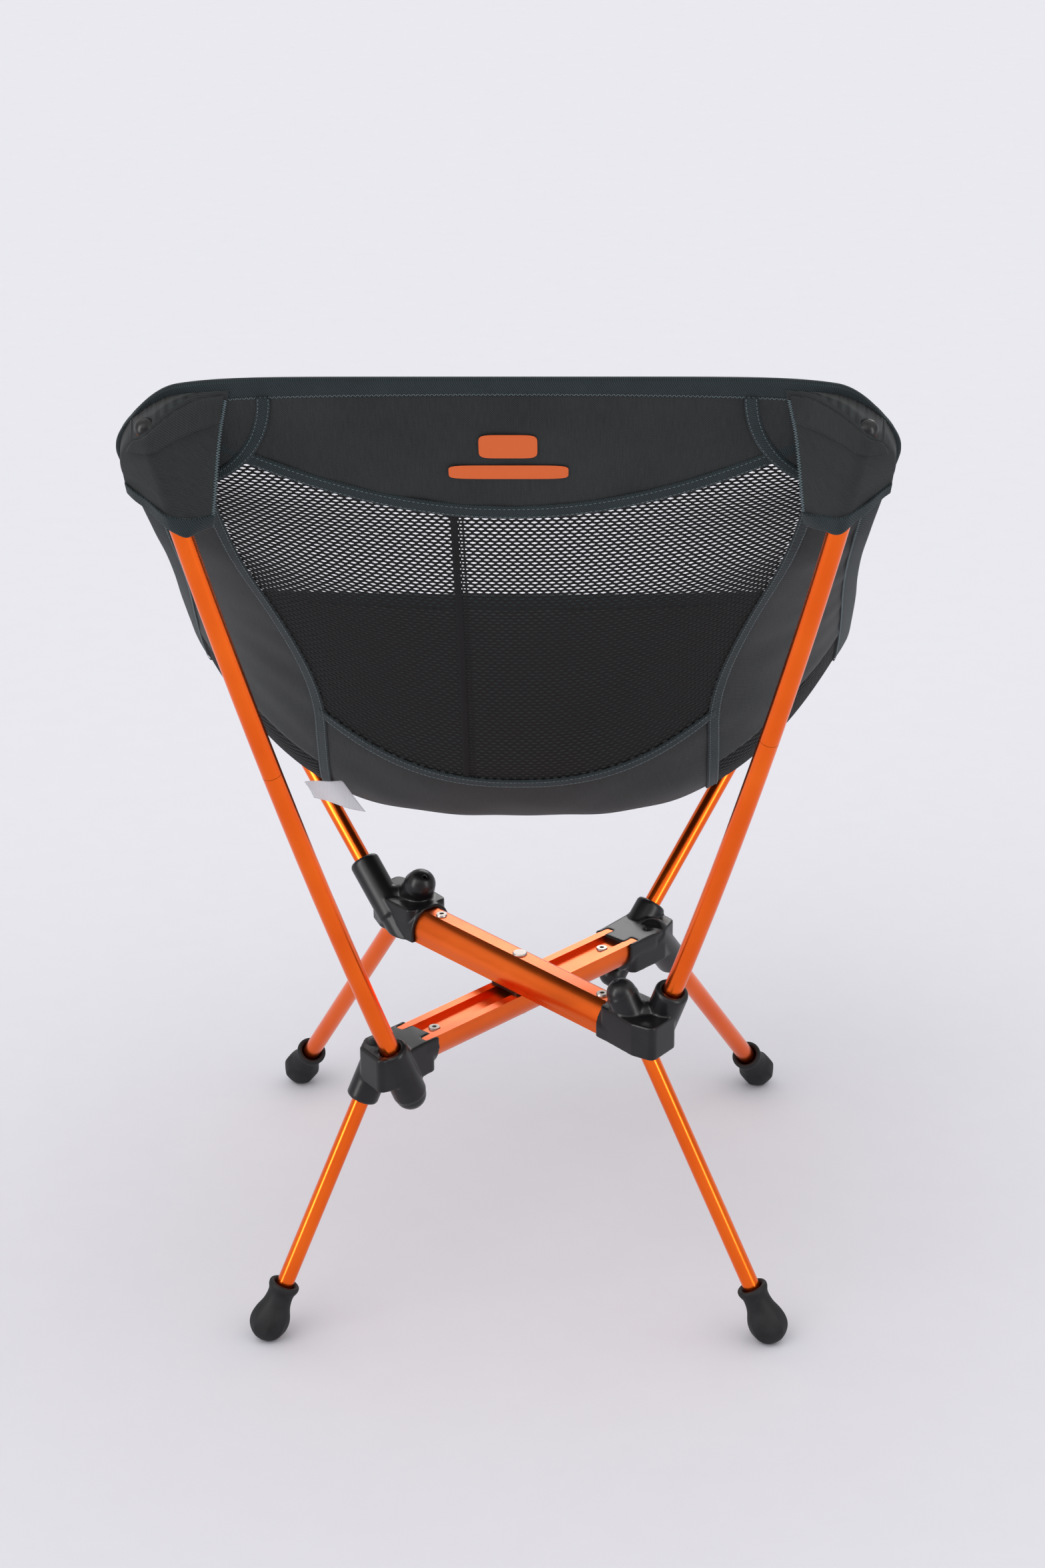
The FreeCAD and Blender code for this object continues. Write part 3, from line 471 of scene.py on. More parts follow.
def two_sided(name, front, back, uv, material):
    """A thin closed piece between two grids of points; `front` is the side its normals face."""
    rows, columns = front.shape[:2]
    size = rows * columns
    faces = grid_faces(rows, columns, 0) + grid_faces(rows, columns, size, flip=True)
    border = [(i, 0) for i in range(rows)] + [(rows - 1, j) for j in range(1, columns)]
    border += [(i, columns - 1) for i in range(rows - 2, -1, -1)]
    border += [(0, j) for j in range(columns - 2, 0, -1)]
    ring = [i * columns + j for i, j in border]
    for one, other in zip(ring, ring[1:] + ring[:1]):
        faces.append((other, one, size + one, size + other))
    points = np.concatenate([front.reshape(-1, 3), back.reshape(-1, 3)])
    return new_piece(name, points, faces, material, np.concatenate([uv, uv]))


def cloth_uv(u, v):
    return np.stack([u * HALF_WIDTH, cloth_run(v)], -1).reshape(-1, 2)


def wrinkle(u, v, seed, height):
    """Soft creases: a few slanting waves whose strength changes from place to place."""
    chance = np.random.default_rng(seed)
    total = np.zeros_like(u)
    run = cloth_run(v)
    for _ in range(6):
        angle, pitch = chance.uniform(0, math.pi), chance.uniform(0.035, 0.11)
        phase, fade = chance.uniform(0, 6.28), chance.uniform(0.12, 0.3)
        along = (u * HALF_WIDTH * math.cos(angle) + run * math.sin(angle)) / pitch
        across = (run * math.cos(angle) - u * HALF_WIDTH * math.sin(angle)) / fade
        swell = 0.5 + 0.5 * np.sin(across * 6.28 + phase)
        total += np.sin(6.28 * along + phase + 1.3 * np.sin(3.1 * across)) * swell
    return total * height / 6


def cloth_panel(name, u, v, material, thick=1.2 * MM, lift=0.0, crease=0.0, seed=1):
    """A sewn panel of the sling; `lift` moves it to the outer side."""
    base, normal = sling_point(u, v), sling_normal(u, v)
    reach = (wrinkle(u, v, seed, crease) - lift)[..., None]
    outer, inner = base + normal * (reach - thick / 2), base + normal * (reach + thick / 2)
    return two_sided(name, inner, outer, cloth_uv(u, v), material)


def finish_piece(piece, slot, *nodes, body="sling"):
    if nodes:
        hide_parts(*nodes)
    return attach(piece, body)


def plain_mesh(piece):
    """Apply a piece's modifiers and keep only the result."""
    graph = bpy.context.evaluated_depsgraph_get()
    made = bpy.data.meshes.new_from_object(piece.evaluated_get(graph))
    piece.modifiers.clear()
    piece.data = made
    return piece


# ---------------------------------------------------------------- node groups for what repeats
def node_group(name):
    group = bpy.data.node_groups.new(name, "GeometryNodeTree")
    group.interface.new_socket("Geometry", in_out="INPUT", socket_type="NodeSocketGeometry")
    group.interface.new_socket("Geometry", in_out="OUTPUT", socket_type="NodeSocketGeometry")
    return group, group.nodes.new("NodeGroupInput"), group.nodes.new("NodeGroupOutput")


def thread_group(name, length, width, material):
    """One sewn loop of thread on every point, turned by the point's `along` and `normal`."""
    group, start, end = node_group(name)
    new, link = group.nodes.new, group.links.new
    loop = new("GeometryNodeMeshUVSphere")
    loop.inputs["Segments"].default_value = 6
    loop.inputs["Rings"].default_value = 4
    loop.inputs["Radius"].default_value = 0.5
    shape = new("GeometryNodeTransform")
    shape.inputs["Scale"].default_value = (length, width, width * 0.8)
    link(loop.outputs["Mesh"], shape.inputs["Geometry"])
    named = []
    for attribute in ("along", "normal"):
        read = new("GeometryNodeInputNamedAttribute")
        read.data_type = "FLOAT_VECTOR"
        read.inputs["Name"].default_value = attribute
        named.append(read.outputs["Attribute"])
    turn = new("FunctionNodeAxesToRotation")
    turn.primary_axis, turn.secondary_axis = "X", "Z"
    link(named[0], turn.inputs["Primary Axis"])
    link(named[1], turn.inputs["Secondary Axis"])
    put = new("GeometryNodeInstanceOnPoints")
    link(start.outputs[0], put.inputs["Points"])
    link(shape.outputs["Geometry"], put.inputs["Instance"])
    link(turn.outputs["Rotation"], put.inputs["Rotation"])
    real = new("GeometryNodeRealizeInstances")
    paint = new("GeometryNodeSetMaterial")
    soft = new("GeometryNodeSetShadeSmooth")
    paint.inputs["Material"].default_value = material
    link(put.outputs["Instances"], real.inputs["Geometry"])
    link(real.outputs["Geometry"], soft.inputs["Geometry"])
    link(soft.outputs["Geometry"], paint.inputs["Geometry"])
    link(paint.outputs["Geometry"], end.inputs[0])
    return group


def stitches(name, rows, spacing, length, width, zigzag=0.0, material=None):
    """Thread along seams. Each row is (points, normals); `zigzag` is the half width of a zigzag seam."""
    spots, alongs, normals = [], [], []
    for line, normal in rows:
        steps = np.linalg.norm(np.diff(line, axis=0), axis=1)
        run = np.concatenate([[0], np.cumsum(steps)])
        places = np.arange(spacing / 2, run[-1], spacing)
        spot = np.stack([np.interp(places, run, line[:, k]) for k in range(3)], -1)
        face = np.stack([np.interp(places, run, normal[:, k]) for k in range(3)], -1)
        along = np.gradient(spot, axis=0)
        along /= np.linalg.norm(along, axis=1, keepdims=True)
        if zigzag:
            side = np.cross(face, along)
            turn = np.where(np.arange(len(spot)) % 2 == 0, 1.0, -1.0)[:, None]
            along = along * spacing + side * turn * zigzag * 2
            along /= np.linalg.norm(along, axis=1, keepdims=True)
        spots.append(spot)
        alongs.append(along)
        normals.append(face)
    spots, alongs, normals = (np.concatenate(x) for x in (spots, alongs, normals))
    made = new_piece(name, spots, [], material or THREAD)
    for label, values in (("along", alongs), ("normal", normals)):
        made.data.attributes.new(label, "FLOAT_VECTOR", "POINT").data.foreach_set("vector", values.ravel())
    modifier = made.modifiers.new("threads", "NODES")
    modifier.node_group = thread_group(name + "_threads", length, width, material or THREAD)
    return finish_piece(plain_mesh(made), "binding_tape")


def seam_line(u, v, lift):
    """A line on the sling's outer side, for stitches."""
    normal = -sling_normal(u, v)
    return sling_point(u, v) + normal * lift, normal


def net_group(name, hole, material):
    """Cells of a triangle grid become holes: dual cells, shrunk and cut away."""
    group, start, end = node_group(name)
    new, link = group.nodes.new, group.links.new
    dual, inset = new("GeometryNodeDualMesh"), new("GeometryNodeExtrudeMesh")
    inset.mode = "FACES"
    inset.inputs["Offset Scale"].default_value = 0.0
    inset.inputs["Individual"].default_value = True
    shrink, cut = new("GeometryNodeScaleElements"), new("GeometryNodeDeleteGeometry")
    shrink.domain, cut.domain = "FACE", "FACE"
    shrink.inputs["Scale"].default_value = hole
    paint = new("GeometryNodeSetMaterial")
    paint.inputs["Material"].default_value = material
    link(start.outputs[0], dual.inputs["Mesh"])
    link(dual.outputs["Dual Mesh"], inset.inputs["Mesh"])
    link(inset.outputs["Mesh"], shrink.inputs["Geometry"])
    link(inset.outputs["Top"], shrink.inputs["Selection"])
    link(shrink.outputs["Geometry"], cut.inputs["Geometry"])
    link(inset.outputs["Top"], cut.inputs["Selection"])
    link(cut.outputs["Geometry"], paint.inputs["Geometry"])
    link(paint.outputs["Geometry"], end.inputs[0])
    return group


def net_panel(name, u_range, v_range, inside, pitch=(7.2 * MM, 3.3 * MM), hole=0.66, lift=0.0):
    """A knitted net on the sling: staggered points, cut to the panel and opened by the node group."""
    run_low, run_high = cloth_run(v_range[0]), cloth_run(v_range[1])
    rows = int((run_high - run_low) / pitch[1]) + 2
    columns = int((u_range[1] - u_range[0]) * HALF_WIDTH / pitch[0]) + 2
    places = np.linspace(0, LAST, 400)
    runs = cloth_run(places)
    j, i = np.meshgrid(np.arange(rows), np.arange(columns), indexing="ij")
    x = u_range[0] * HALF_WIDTH + (i + 0.5 * (j % 2)) * pitch[0]
    u, v = x / HALF_WIDTH, np.interp(run_low + j * pitch[1], runs, places)
    keep = inside(u, v)
    faces = []
    number = np.arange(rows * columns).reshape(rows, columns)
    for r in range(rows - 1):
        for c in range(columns - 1):
            a, b, d, e = number[r, c], number[r, c + 1], number[r + 1, c], number[r + 1, c + 1]
            pair = ((a, b, d), (b, e, d)) if r % 2 == 0 else ((a, b, e), (a, e, d))
            faces += [face for face in pair if all(keep.ravel()[k] for k in face)]
    points = sling_point(u, v) - sling_normal(u, v) * lift
    used = sorted({k for face in faces for k in face})
    renumber = {old: new for new, old in enumerate(used)}
    made = new_piece(name, points.reshape(-1, 3)[used], [tuple(renumber[k] for k in f) for f in faces], YARN)
    made.modifiers.new("net", "NODES").node_group = net_group(name + "_net", hole, YARN)
    body = made.modifiers.new("yarn", "SOLIDIFY")
    body.thickness, body.offset = 0.9 * MM, 0.0
    return plain_mesh(made)


# ---------------------------------------------------------------- sling
def sided(side, low, high):
    """A pair of border curves on one side of the sling, given as functions of v on its right."""
    if side == "right":
        return low, high
    return (lambda v: -high(v)), (lambda v: -low(v))


def binding(name, u, v, uv_turn, bulge, thick=2.6 * MM, lift=0.0):
    """A folded tape over an edge: rounded across its width. The grid's second index runs across the tape."""
    base, normal = sling_point(u, v), sling_normal(u, v)
    across = np.linspace(-1, 1, u.shape[1])
    high = (thick / 2) * (0.72 + bulge * np.sqrt(np.clip(1 - across ** 2, 0, 1)))[None, :, None]
    shift = normal * -lift
    front, back = base + normal * high + shift, base - normal * high + shift
    return two_sided(name, front, back, cloth_uv(u, v) @ uv_turn, TAPE)


NET_SEAM = -0.15  # the upright seam of the mesh
PATCH_START, PATCH_WIDE, PATCH_TOP, PATCH_HIGH = 0.615, 0.225, 0.11, 0.76


def patch_curve(t):
    """The curved inner border of a corner patch, from the top edge (0) to the wing (1)."""
    return PATCH_START + PATCH_WIDE * t ** 1.8, PATCH_TOP + PATCH_HIGH * t ** 0.8


def patch_foot(u):
    share = np.clip((np.abs(u) - PATCH_START) / PATCH_WIDE, 0, 1)
    return PATCH_TOP + PATCH_HIGH * share ** (0.8 / 1.8)


def build_sling():
    cloth = "sling_fabric"
    u, v = panel_places(always(-0.805), always(0.805), top_hem, band_foot, (120, 26))
    finish_piece(cloth_panel("top_band", u, v, CLOTH, crease=1.6 * MM, seed=3), cloth, "sling_top_band")
    u, v = panel_places(lambda v: -mesh_half(v), mesh_half, seat_seam, always(SEAT_FOLD), (90, 60))
    finish_piece(cloth_panel("seat_base", u, v, CLOTH, crease=2.0 * MM, seed=5), cloth, "sling_seat_base")
    u, v = panel_places(always(-EDGE), always(EDGE), always(SEAT_FOLD), always(FRONT_HEM), (120, 30))
    finish_piece(cloth_panel("seat_front", u, v, CLOTH, crease=1.2 * MM, seed=7), cloth, "sling_seat_front")
    for side in ("left", "right"):
        low, high = sided(side, mesh_half, always(EDGE))
        u, v = panel_places(low, high, always(0.8), always(WING_FOOT), (44, 120))
        finish_piece(cloth_panel("wing_" + side, u, v, CLOTH, crease=2.2 * MM, seed=11 + len(side)), cloth,
                     "sling_wing_" + side, "corner_patch_" + side)
        low, high = sided(side, always(0.8), always(EDGE))
        u, v = panel_places(low, high, top_hem, always(0.82), (20, 20))
        finish_piece(cloth_panel("corner_" + side, u, v, CLOTH, crease=0.8 * MM, seed=21), cloth)
        sign = 1 if side == "right" else -1
        t, share = np.meshgrid(np.linspace(0, 1, 40), np.linspace(0, 1, 30), indexing="ij")
        inner, v = patch_curve(t)
        u = sign * (inner + (EDGE + 0.01 - inner) * share)
        if sign > 0:
            u, v = u[::-1], v[::-1]
        patch = cloth_panel("patch_" + side, u, v, CLOTH, lift=1.3 * MM, crease=0.5 * MM, seed=23)
        finish_piece(patch, cloth)
    for side, sign in (("left", -1), ("right", 1)):
        low, high = (-0.82, NET_SEAM + 0.012) if sign < 0 else (NET_SEAM - 0.012, 0.82)
        back = net_panel("back_net_" + side, (low, high), (0.3, 5.2), lambda u, v: (
            (np.abs(u) < mesh_half(v) + 0.012) & (v > np.maximum(band_foot(u), patch_foot(u)) - 0.05)
            & (v < seat_seam(u) + 0.05)))
        finish_piece(back, "sling_mesh", *(["sling_back_mesh"] if sign < 0 else []))
        wing = net_panel("side_net_" + side, (0.5, 1.0) if sign > 0 else (-1.0, -0.5), (5.3, 7.6),
                         lambda u, v: (np.abs(u) > mesh_half(v) - 0.012) & (np.abs(u) < EDGE + 0.01)
                         & (v > WING_FOOT - 0.06) & (v < SEAT_FOLD + 0.06), lift=0.2 * MM)
        finish_piece(wing, "sling_mesh", "sling_side_mesh_" + side)


def build_bindings():
    tape = "binding_tape"
    turn = np.array([[0.0, 1.0], [1.0, 0.0]])
    same = np.eye(2)
    u, v = panel_places(always(-1.0), always(1.0), always(-0.015), lambda u: top_hem(u) + 0.01, (200, 9))
    finish_piece(binding("edge_top", u, v, same, 0.5, 3.0 * MM), tape, "binding_top")
    u, v = panel_places(always(-EDGE), always(EDGE), always(FRONT_HEM), always(LAST), (160, 9))
    finish_piece(binding("edge_front", u, v, same, 0.5, 3.0 * MM), tape, "binding_front")
    for side, sign in (("left", -1), ("right", 1)):
        v, share = np.meshgrid(np.linspace(0.0, LAST, 260), np.linspace(0, 1, 9), indexing="ij")
        u = sign * (EDGE - 0.005 + (1.0 - EDGE + 0.005) * share)
        if sign > 0:
            u, v = u[::-1], v[::-1]
        finish_piece(binding("edge_" + side, u, v, turn, 0.5, 3.0 * MM), tape, "binding_side_" + side)
        v, share = np.meshgrid(np.linspace(1.0, SEAT_FOLD, 220), np.linspace(-1, 1, 7), indexing="ij")
        u = sign * (mesh_half(v) + 0.017 * share)
        if sign > 0:
            u, v = u[::-1], v[::-1]
        finish_piece(binding("seam_" + side, u, v, turn, 0.35, 1.4 * MM, 1.3 * MM), tape, "seam_tape_" + side)
    u, share = np.meshgrid(np.linspace(-0.585, 0.585, 160), np.linspace(-1, 1, 7), indexing="ij")
    v = seat_seam(u) + 0.075 * share
    finish_piece(binding("seam_seat", u, v, same, 0.35, 1.4 * MM, 1.5 * MM), tape, "seam_tape_seat")
    u, share = np.meshgrid(np.linspace(-0.81, 0.81, 200), np.linspace(-1, 1, 7), indexing="ij")
    v = band_foot(u) + 0.055 * share
    finish_piece(binding("seam_band", u, v, same, 0.35, 1.4 * MM, 1.2 * MM), tape)


def tape_along(name, u, v, width, thick, lift):
    """A narrow tape on the sling's outer side that follows a line of (u, v)."""
    line, normal = seam_line(u, v, lift)
    along = np.gradient(line, axis=0)
    along /= np.linalg.norm(along, axis=1, keepdims=True)
    side = np.cross(normal, along)
    across = np.linspace(-1, 1, 9)
    dome = thick * (0.4 + 0.6 * np.sqrt(1 - across ** 2))
    flat = line[:, None] + side[:, None] * (across * width / 2)[None, :, None]
    top = flat + normal[:, None] * dome[None, :, None]
    low = line[:, None] + side[:, None] * (across * width / 2)[None, :, None]
    run = np.concatenate([[0], np.cumsum(np.linalg.norm(np.diff(line, axis=0), axis=1))])
    uv = np.stack(np.broadcast_arrays(run[:, None], across * width / 2), -1).reshape(-1, 2)
    return two_sided(name, top, low, uv, TAPE)


def build_seams():
    """Bindings of the corner patches, the mesh's upright seam and all the stitching."""
    t = np.linspace(0, 1, 70)
    rows, zigzags = [], []
    for side, sign in (("left", -1), ("right", 1)):
        inner, v = patch_curve(t)
        tape = tape_along("patch_tape_" + side, sign * inner, v, 9 * MM, 1.5 * MM, 1.9 * MM)
        finish_piece(tape, "binding_tape")
        for off in (-0.013, 0.013):
            rows.append(seam_line(sign * (inner + off), v, 3.2 * MM))
        w = np.linspace(1.0, SEAT_FOLD - 0.2, 220)
        for off in (-0.012, 0.012):
            rows.append(seam_line(sign * (mesh_half(w) + off), w, 2.3 * MM))
        w = np.linspace(0.75, LAST - 0.3, 260)
        zigzags.append(seam_line(sign * (EDGE - 0.005 + 0 * w), w, 1.9 * MM))
    u = np.linspace(-0.93, 0.93, 240)
    zigzags.append(seam_line(u, top_hem(u) + 0.005, 1.9 * MM))
    zigzags.append(seam_line(u, FRONT_HEM - 0.01 + 0 * u, 1.9 * MM))
    u = np.linspace(-0.66, 0.66, 160)
    for off in (-0.035, 0.035):
        rows.append(seam_line(u, band_foot(u) + off, 2.2 * MM))
    u = np.linspace(-0.56, 0.56, 150)
    for off in (-0.045, 0.045):
        rows.append(seam_line(u, seat_seam(u) + off, 2.5 * MM))
    stitches("seam_stitches", rows, 3.2 * MM, 2.4 * MM, 0.55 * MM)
    stitches("zigzag_stitches", zigzags, 1.5 * MM, 2.5 * MM, 0.5 * MM, zigzag=1.0 * MM)
    w = np.linspace(0.95, 4.95, 160)
    seam = tape_along("net_seam", NET_SEAM + 0 * w, w, 5 * MM, 0.8 * MM, 0.5 * MM)
    seam.data.materials[0] = YARN
    finish_piece(seam, "sling_mesh")


# ---------------------------------------------------------------- pole pockets
def tube_axis(node, top):
    """The end point and outward direction of a pole's last stretch, read from its node."""
    points = np.array([vertex.co for vertex in frame["nodes"][node].data.vertices])
    height = points[:, 2]
    end_ring = points[height > height.max() - 14 * MM].mean(0)
    lower = points[height < height.min() + 14 * MM].mean(0)
    along = (end_ring - lower) / np.linalg.norm(end_ring - lower)
    if top:
        middle = points[np.argsort(np.abs(height - (height.max() + height.min()) / 2))[:8]].mean(0)
        lean = (end_ring - middle) / np.linalg.norm(end_ring - middle)
        along = lean if len(points) > 200 else along
    reach = ((points - end_ring) @ along).max()
    return end_ring + along * reach, along


def cover_height(points, normals, end, along, radius):
    """How far a cloth on these points has to stand off so that it clears a round-ended pole."""
    offset = points - end
    run = offset @ along
    side = offset - run[..., None] * along
    lean = normals - (normals @ along)[..., None] * along
    size = radius ** 2 - np.clip(run, 0, radius * 0.999) ** 2
    size = np.where(run > radius, 0, size)
    a, b = (lean ** 2).sum(-1), (side * lean).sum(-1)
    c = (side ** 2).sum(-1) - size
    disc = b ** 2 - a * c
    return np.where((disc > 0) & (size > 0), (-b + np.sqrt(np.maximum(disc, 0))) / a, 0.0)


def taut(height, fixed, floor, rounds=260):
    """Stretch a cloth over what it has to clear: it is straight wherever it touches nothing."""
    made = np.maximum(height, floor)
    for _ in range(rounds):
        padded = np.pad(made, 1, mode="edge")
        mean = (padded[2:, 1:-1] + padded[:-2, 1:-1] + padded[1:-1, 2:] + padded[1:-1, :-2]) / 4
        made = np.maximum(np.maximum(height, floor), np.where(fixed, floor, mean))
    return made


def pocket_cloth(name, u, v, end, along, radius, fixed, extra, material, uv_turn=None):
    """A patch of cloth sewn to the sling's outer side over a pole's end."""
    base, normal = sling_point(u, v), -sling_normal(u, v)
    cover = cover_height(base, normal, end, along, radius)
    spots, peaks = base.reshape(-1, 3), base[cover > 0]
    apart = np.linalg.norm(spots[:, None] - peaks[None], axis=2)
    tent = (cover[cover > 0][None] - TENT_SLOPE * apart).max(1).reshape(cover.shape)
    high = taut(np.maximum(cover, tent), fixed, 1.6 * MM) + extra
    top = base + normal * (high + 0.6 * MM)[..., None]
    low = base + normal * np.where(fixed, 1.0 * MM, high - 0.6 * MM)[..., None]
    uv = cloth_uv(u, v) if uv_turn is None else cloth_uv(u, v) @ uv_turn
    return two_sided(name, top, low, uv, material), base, normal, high


POCKET_IN, POCKET_OUT, POCKET_TOP, POCKET_MOUTH = 0.70, 0.988, 0.05, 0.86
TENT_SLOPE = 0.8  # how steeply a pocket's cloth may fall away from the pole's end


def build_back_pockets():
    turned = np.array([[0.8, 0.6], [-0.6, 0.8]])
    for side, sign in (("left", -1), ("right", 1)):
        end, along = tube_axis("back_pole_upper_" + side, True)
        s, t = np.meshgrid(np.linspace(0, 1, 56), np.linspace(0, 1, 60), indexing="ij")
        slant = POCKET_IN + 0.075 * t
        u = slant + (POCKET_OUT - slant) * s
        v = POCKET_TOP + (POCKET_MOUTH - POCKET_TOP + 0.10 * (1 - s)) * t - 0.05 * s * t
        u = sign * u
        if sign < 0:
            u, v = u[::-1], v[::-1]
        fixed = np.zeros(u.shape, bool)
        fixed[0, :] = fixed[-1, :] = fixed[:, 0] = True
        made, base, normal, high = pocket_cloth("pocket_" + side, u, v, end, along, 8.6 * MM, fixed, 0.3 * MM,
                                                CLOTH, turned)
        finish_piece(made, "sling_fabric", "pole_pocket_back_" + side)
        mouth = slice(-9, None)
        lift = (high[:, mouth] + 1.6 * MM)[..., None]
        ripple = 0.7 * MM * np.sin(np.linspace(0, 19, u.shape[0]))[:, None, None]
        top = base[:, mouth] + normal[:, mouth] * (lift + ripple + 0.9 * MM)
        low = base[:, mouth] + normal[:, mouth] * (lift + ripple - 0.9 * MM)
        hem = two_sided("pocket_hem_" + side, top, low, cloth_uv(u[:, mouth], v[:, mouth]), TAPE)
        finish_piece(hem, "binding_tape")
        strip = slice(2, 14)
        fold = np.linspace(0, 1, 12)[None, :, None] ** 3 * 1.6 * MM
        lift = (high[2:-2, strip] + 1.4 * MM)[..., None] + fold
        top = base[2:-2, strip] + normal[2:-2, strip] * (lift + 0.6 * MM)
        low = base[2:-2, strip] + normal[2:-2, strip] * (lift - 0.6 * MM)
        facing = two_sided("pocket_strip_" + side, top, low, cloth_uv(u[2:-2, strip], v[2:-2, strip]), CLOTH)
        finish_piece(facing, "sling_fabric")
        inner = 1 if sign > 0 else -2
        line = base[inner, 4:] + normal[inner, 4:] * (high[inner, 4:] + 1.2 * MM)[:, None]
        tack = [(line, normal[inner, 4:])]
        stitches("pocket_tack_" + side, tack, 0.9 * MM, 3.6 * MM, 0.7 * MM, zigzag=1.2 * MM)


TAB_ROWS, TAB_CORE, TAB_EDGE = 18, 1.1 * MM, 3.4 * MM  # half thickness in the middle, and what the edges add


def build_front_pockets():
    """Cloth caps over the seat poles' ends, sewn under the front corners."""
    for side, sign in (("left", -1), ("right", 1)):
        end, along = tube_axis("seat_pole_" + side, False)
        turns, rows = np.linspace(0, 2 * math.pi, 41)[:-1], np.linspace(0, 1, 26)
        across = np.cross(along, [sign, 0, 0])
        across /= np.linalg.norm(across)
        other = np.cross(along, across)
        points, uvs = [], []
        for turn in turns:
            for row in rows:
                run = -46 * MM + row * 54 * MM
                flare = 1 + 0.22 * (1 - row) ** 3 + 0.05 * math.sin(3 * turn + 5 * row)
                radius = 8.6 * MM * flare * math.sqrt(max(0.02, 1 - max(0.0, run / (9 * MM)) ** 2))
                wide = 1.25 if row < 0.8 else 1.0
                ring = across * math.cos(turn) * radius + other * math.sin(turn) * radius * wide
                points.append(end + along * run + ring)
                uvs.append((turn * 9 * MM, run))
        faces = grid_faces(len(turns), len(rows), wrap=True)
        cap = new_piece("front_pocket_" + side, points, faces, CLOTH, uvs)
        skin = cap.modifiers.new("cloth", "SOLIDIFY")
        skin.thickness, skin.offset = 1.2 * MM, -1.0
        finish_piece(plain_mesh(cap), "sling_fabric", "pole_pocket_front_" + side)
        # the folded tab that joins the cap to the sling's underside
        u, v = np.meshgrid(sign * np.linspace(0.78, 0.99, 80), np.linspace(8.3, LAST, 80), indexing="ij")
        cloth = sling_point(u, v).reshape(-1, 3)
        spine = end + along * np.linspace(-44 * MM, 4 * MM, TAB_ROWS)[:, None]
        root = cloth[np.linalg.norm(cloth[None] - spine[:, None], axis=2).argmin(1)]
        rise = (root - spine) / np.linalg.norm(root - spine, axis=1)[:, None]
        across = np.cross(rise, along)
        share = np.linspace(0, 1, 8)[None, :, None]
        middle = root[:, None] * (1 - share) + (spine + rise * 6.5 * MM)[:, None] * share
        wide = across[:, None] * (TAB_CORE + TAB_EDGE * (2 * share - 1) ** 4)
        down = np.linspace(0, 1, TAB_ROWS)[:, None]
        uv = cloth_uv(share[..., 0] + down, share[..., 0] + np.zeros((TAB_ROWS, 1)))
        finish_piece(two_sided("pocket_tab_" + side, middle + wide, middle - wide, uv, CLOTH), "sling_fabric")


# ---------------------------------------------------------------- hubs and feet
def moulded(name, node, extras=(), voxel=0.9 * MM, rounds=7, keep=0.45):
    """A CAD shape with every edge rounded, as moulded plastic: remeshed, smoothed and thinned out."""
    source = frame["nodes"][node].data
    points = [tuple(vertex.co) for vertex in source.vertices]
    faces = [tuple(face.vertices) for face in source.polygons]
    for extra_points, extra_faces in extras:
        start = len(points)
        points += [tuple(p) for p in extra_points]
        faces += [tuple(k + start for k in face) for face in extra_faces]
    made = new_piece(name, points, faces, HUB)
    weld = made.modifiers.new("weld", "WELD")
    weld.merge_threshold = 0.01 * MM
    remesh = made.modifiers.new("remesh", "REMESH")
    remesh.mode, remesh.voxel_size, remesh.use_smooth_shade = "VOXEL", voxel, True
    smooth = made.modifiers.new("smooth", "SMOOTH")
    smooth.factor, smooth.iterations = 0.5, rounds
    thin = made.modifiers.new("thin", "DECIMATE")
    thin.ratio = keep
    plain_mesh(made)
    made.data.materials.clear()
    made.data.materials.append(HUB)
    return made


def turned_solid(centre, along, profile, segments=48):
    """A closed solid turned about a line, from pairs of radius and height."""
    along = np.asarray(along, float) / np.linalg.norm(along)
    across = np.cross(along, [0.3, 0.9, 0.2])
    across /= np.linalg.norm(across)
    other = np.cross(along, across)
    turn = np.linspace(0, 2 * math.pi, segments + 1)[:-1]
    out = across * np.cos(turn)[:, None] + other * np.sin(turn)[:, None]
    points = np.concatenate([centre + out * radius + along * height for radius, height in profile])
    faces = []
    for j in range(len(profile) - 1):
        for k in range(segments):
            near, far = j * segments + k, j * segments + (k + 1) % segments
            faces.append((near, far, far + segments, near + segments))
    last = (len(profile) - 1) * segments
    faces += [tuple(range(segments))[::-1], tuple(last + k for k in range(segments))]
    return points, faces


def socket_line(node, place):
    """A tube's end inside a hub: the middle of the end, the way the tube leaves, and its radius."""
    points = np.array([vertex.co for vertex in frame["nodes"][node].data.vertices])
    nearest = points[np.linalg.norm(points - place, axis=1).argmin()]
    near = points[np.linalg.norm(points - nearest, axis=1) < 15.5 * MM]
    end = near.mean(0)
    away = np.linalg.norm(points - end, axis=1)
    start = away[away > 25 * MM].min()
    ring = points[(away > start - 0.1 * MM) & (away < start + 2 * MM)]
    along = (ring.mean(0) - end) / np.linalg.norm(ring.mean(0) - end)
    side = (near - end) - ((near - end) @ along)[:, None] * along
    return end, along, np.linalg.norm(side, axis=1).max()


FEET = {"rear_left": "lower_frame", "front_right": "lower_frame", "rear_right": "upper_frame",
        "front_left": "upper_frame"}


SOCKETS = {"rear_left": ("back_pole_lower_left", "leg_tube_rear_left"),
           "rear_right": ("leg_tube_rear_right", "back_pole_lower_right"),
           "front_left": ("leg_tube_front_left", "seat_pole_left"),
           "front_right": ("seat_pole_right", "leg_tube_front_right")}


BARREL_WALL, WEB_RADIUS = 5.6 * MM, 10 * MM  # plastic round a tube, and the lump between two barrels
BORE_PLAY, MOUTH_FLARE = 0.12 * MM, 1.8 * MM


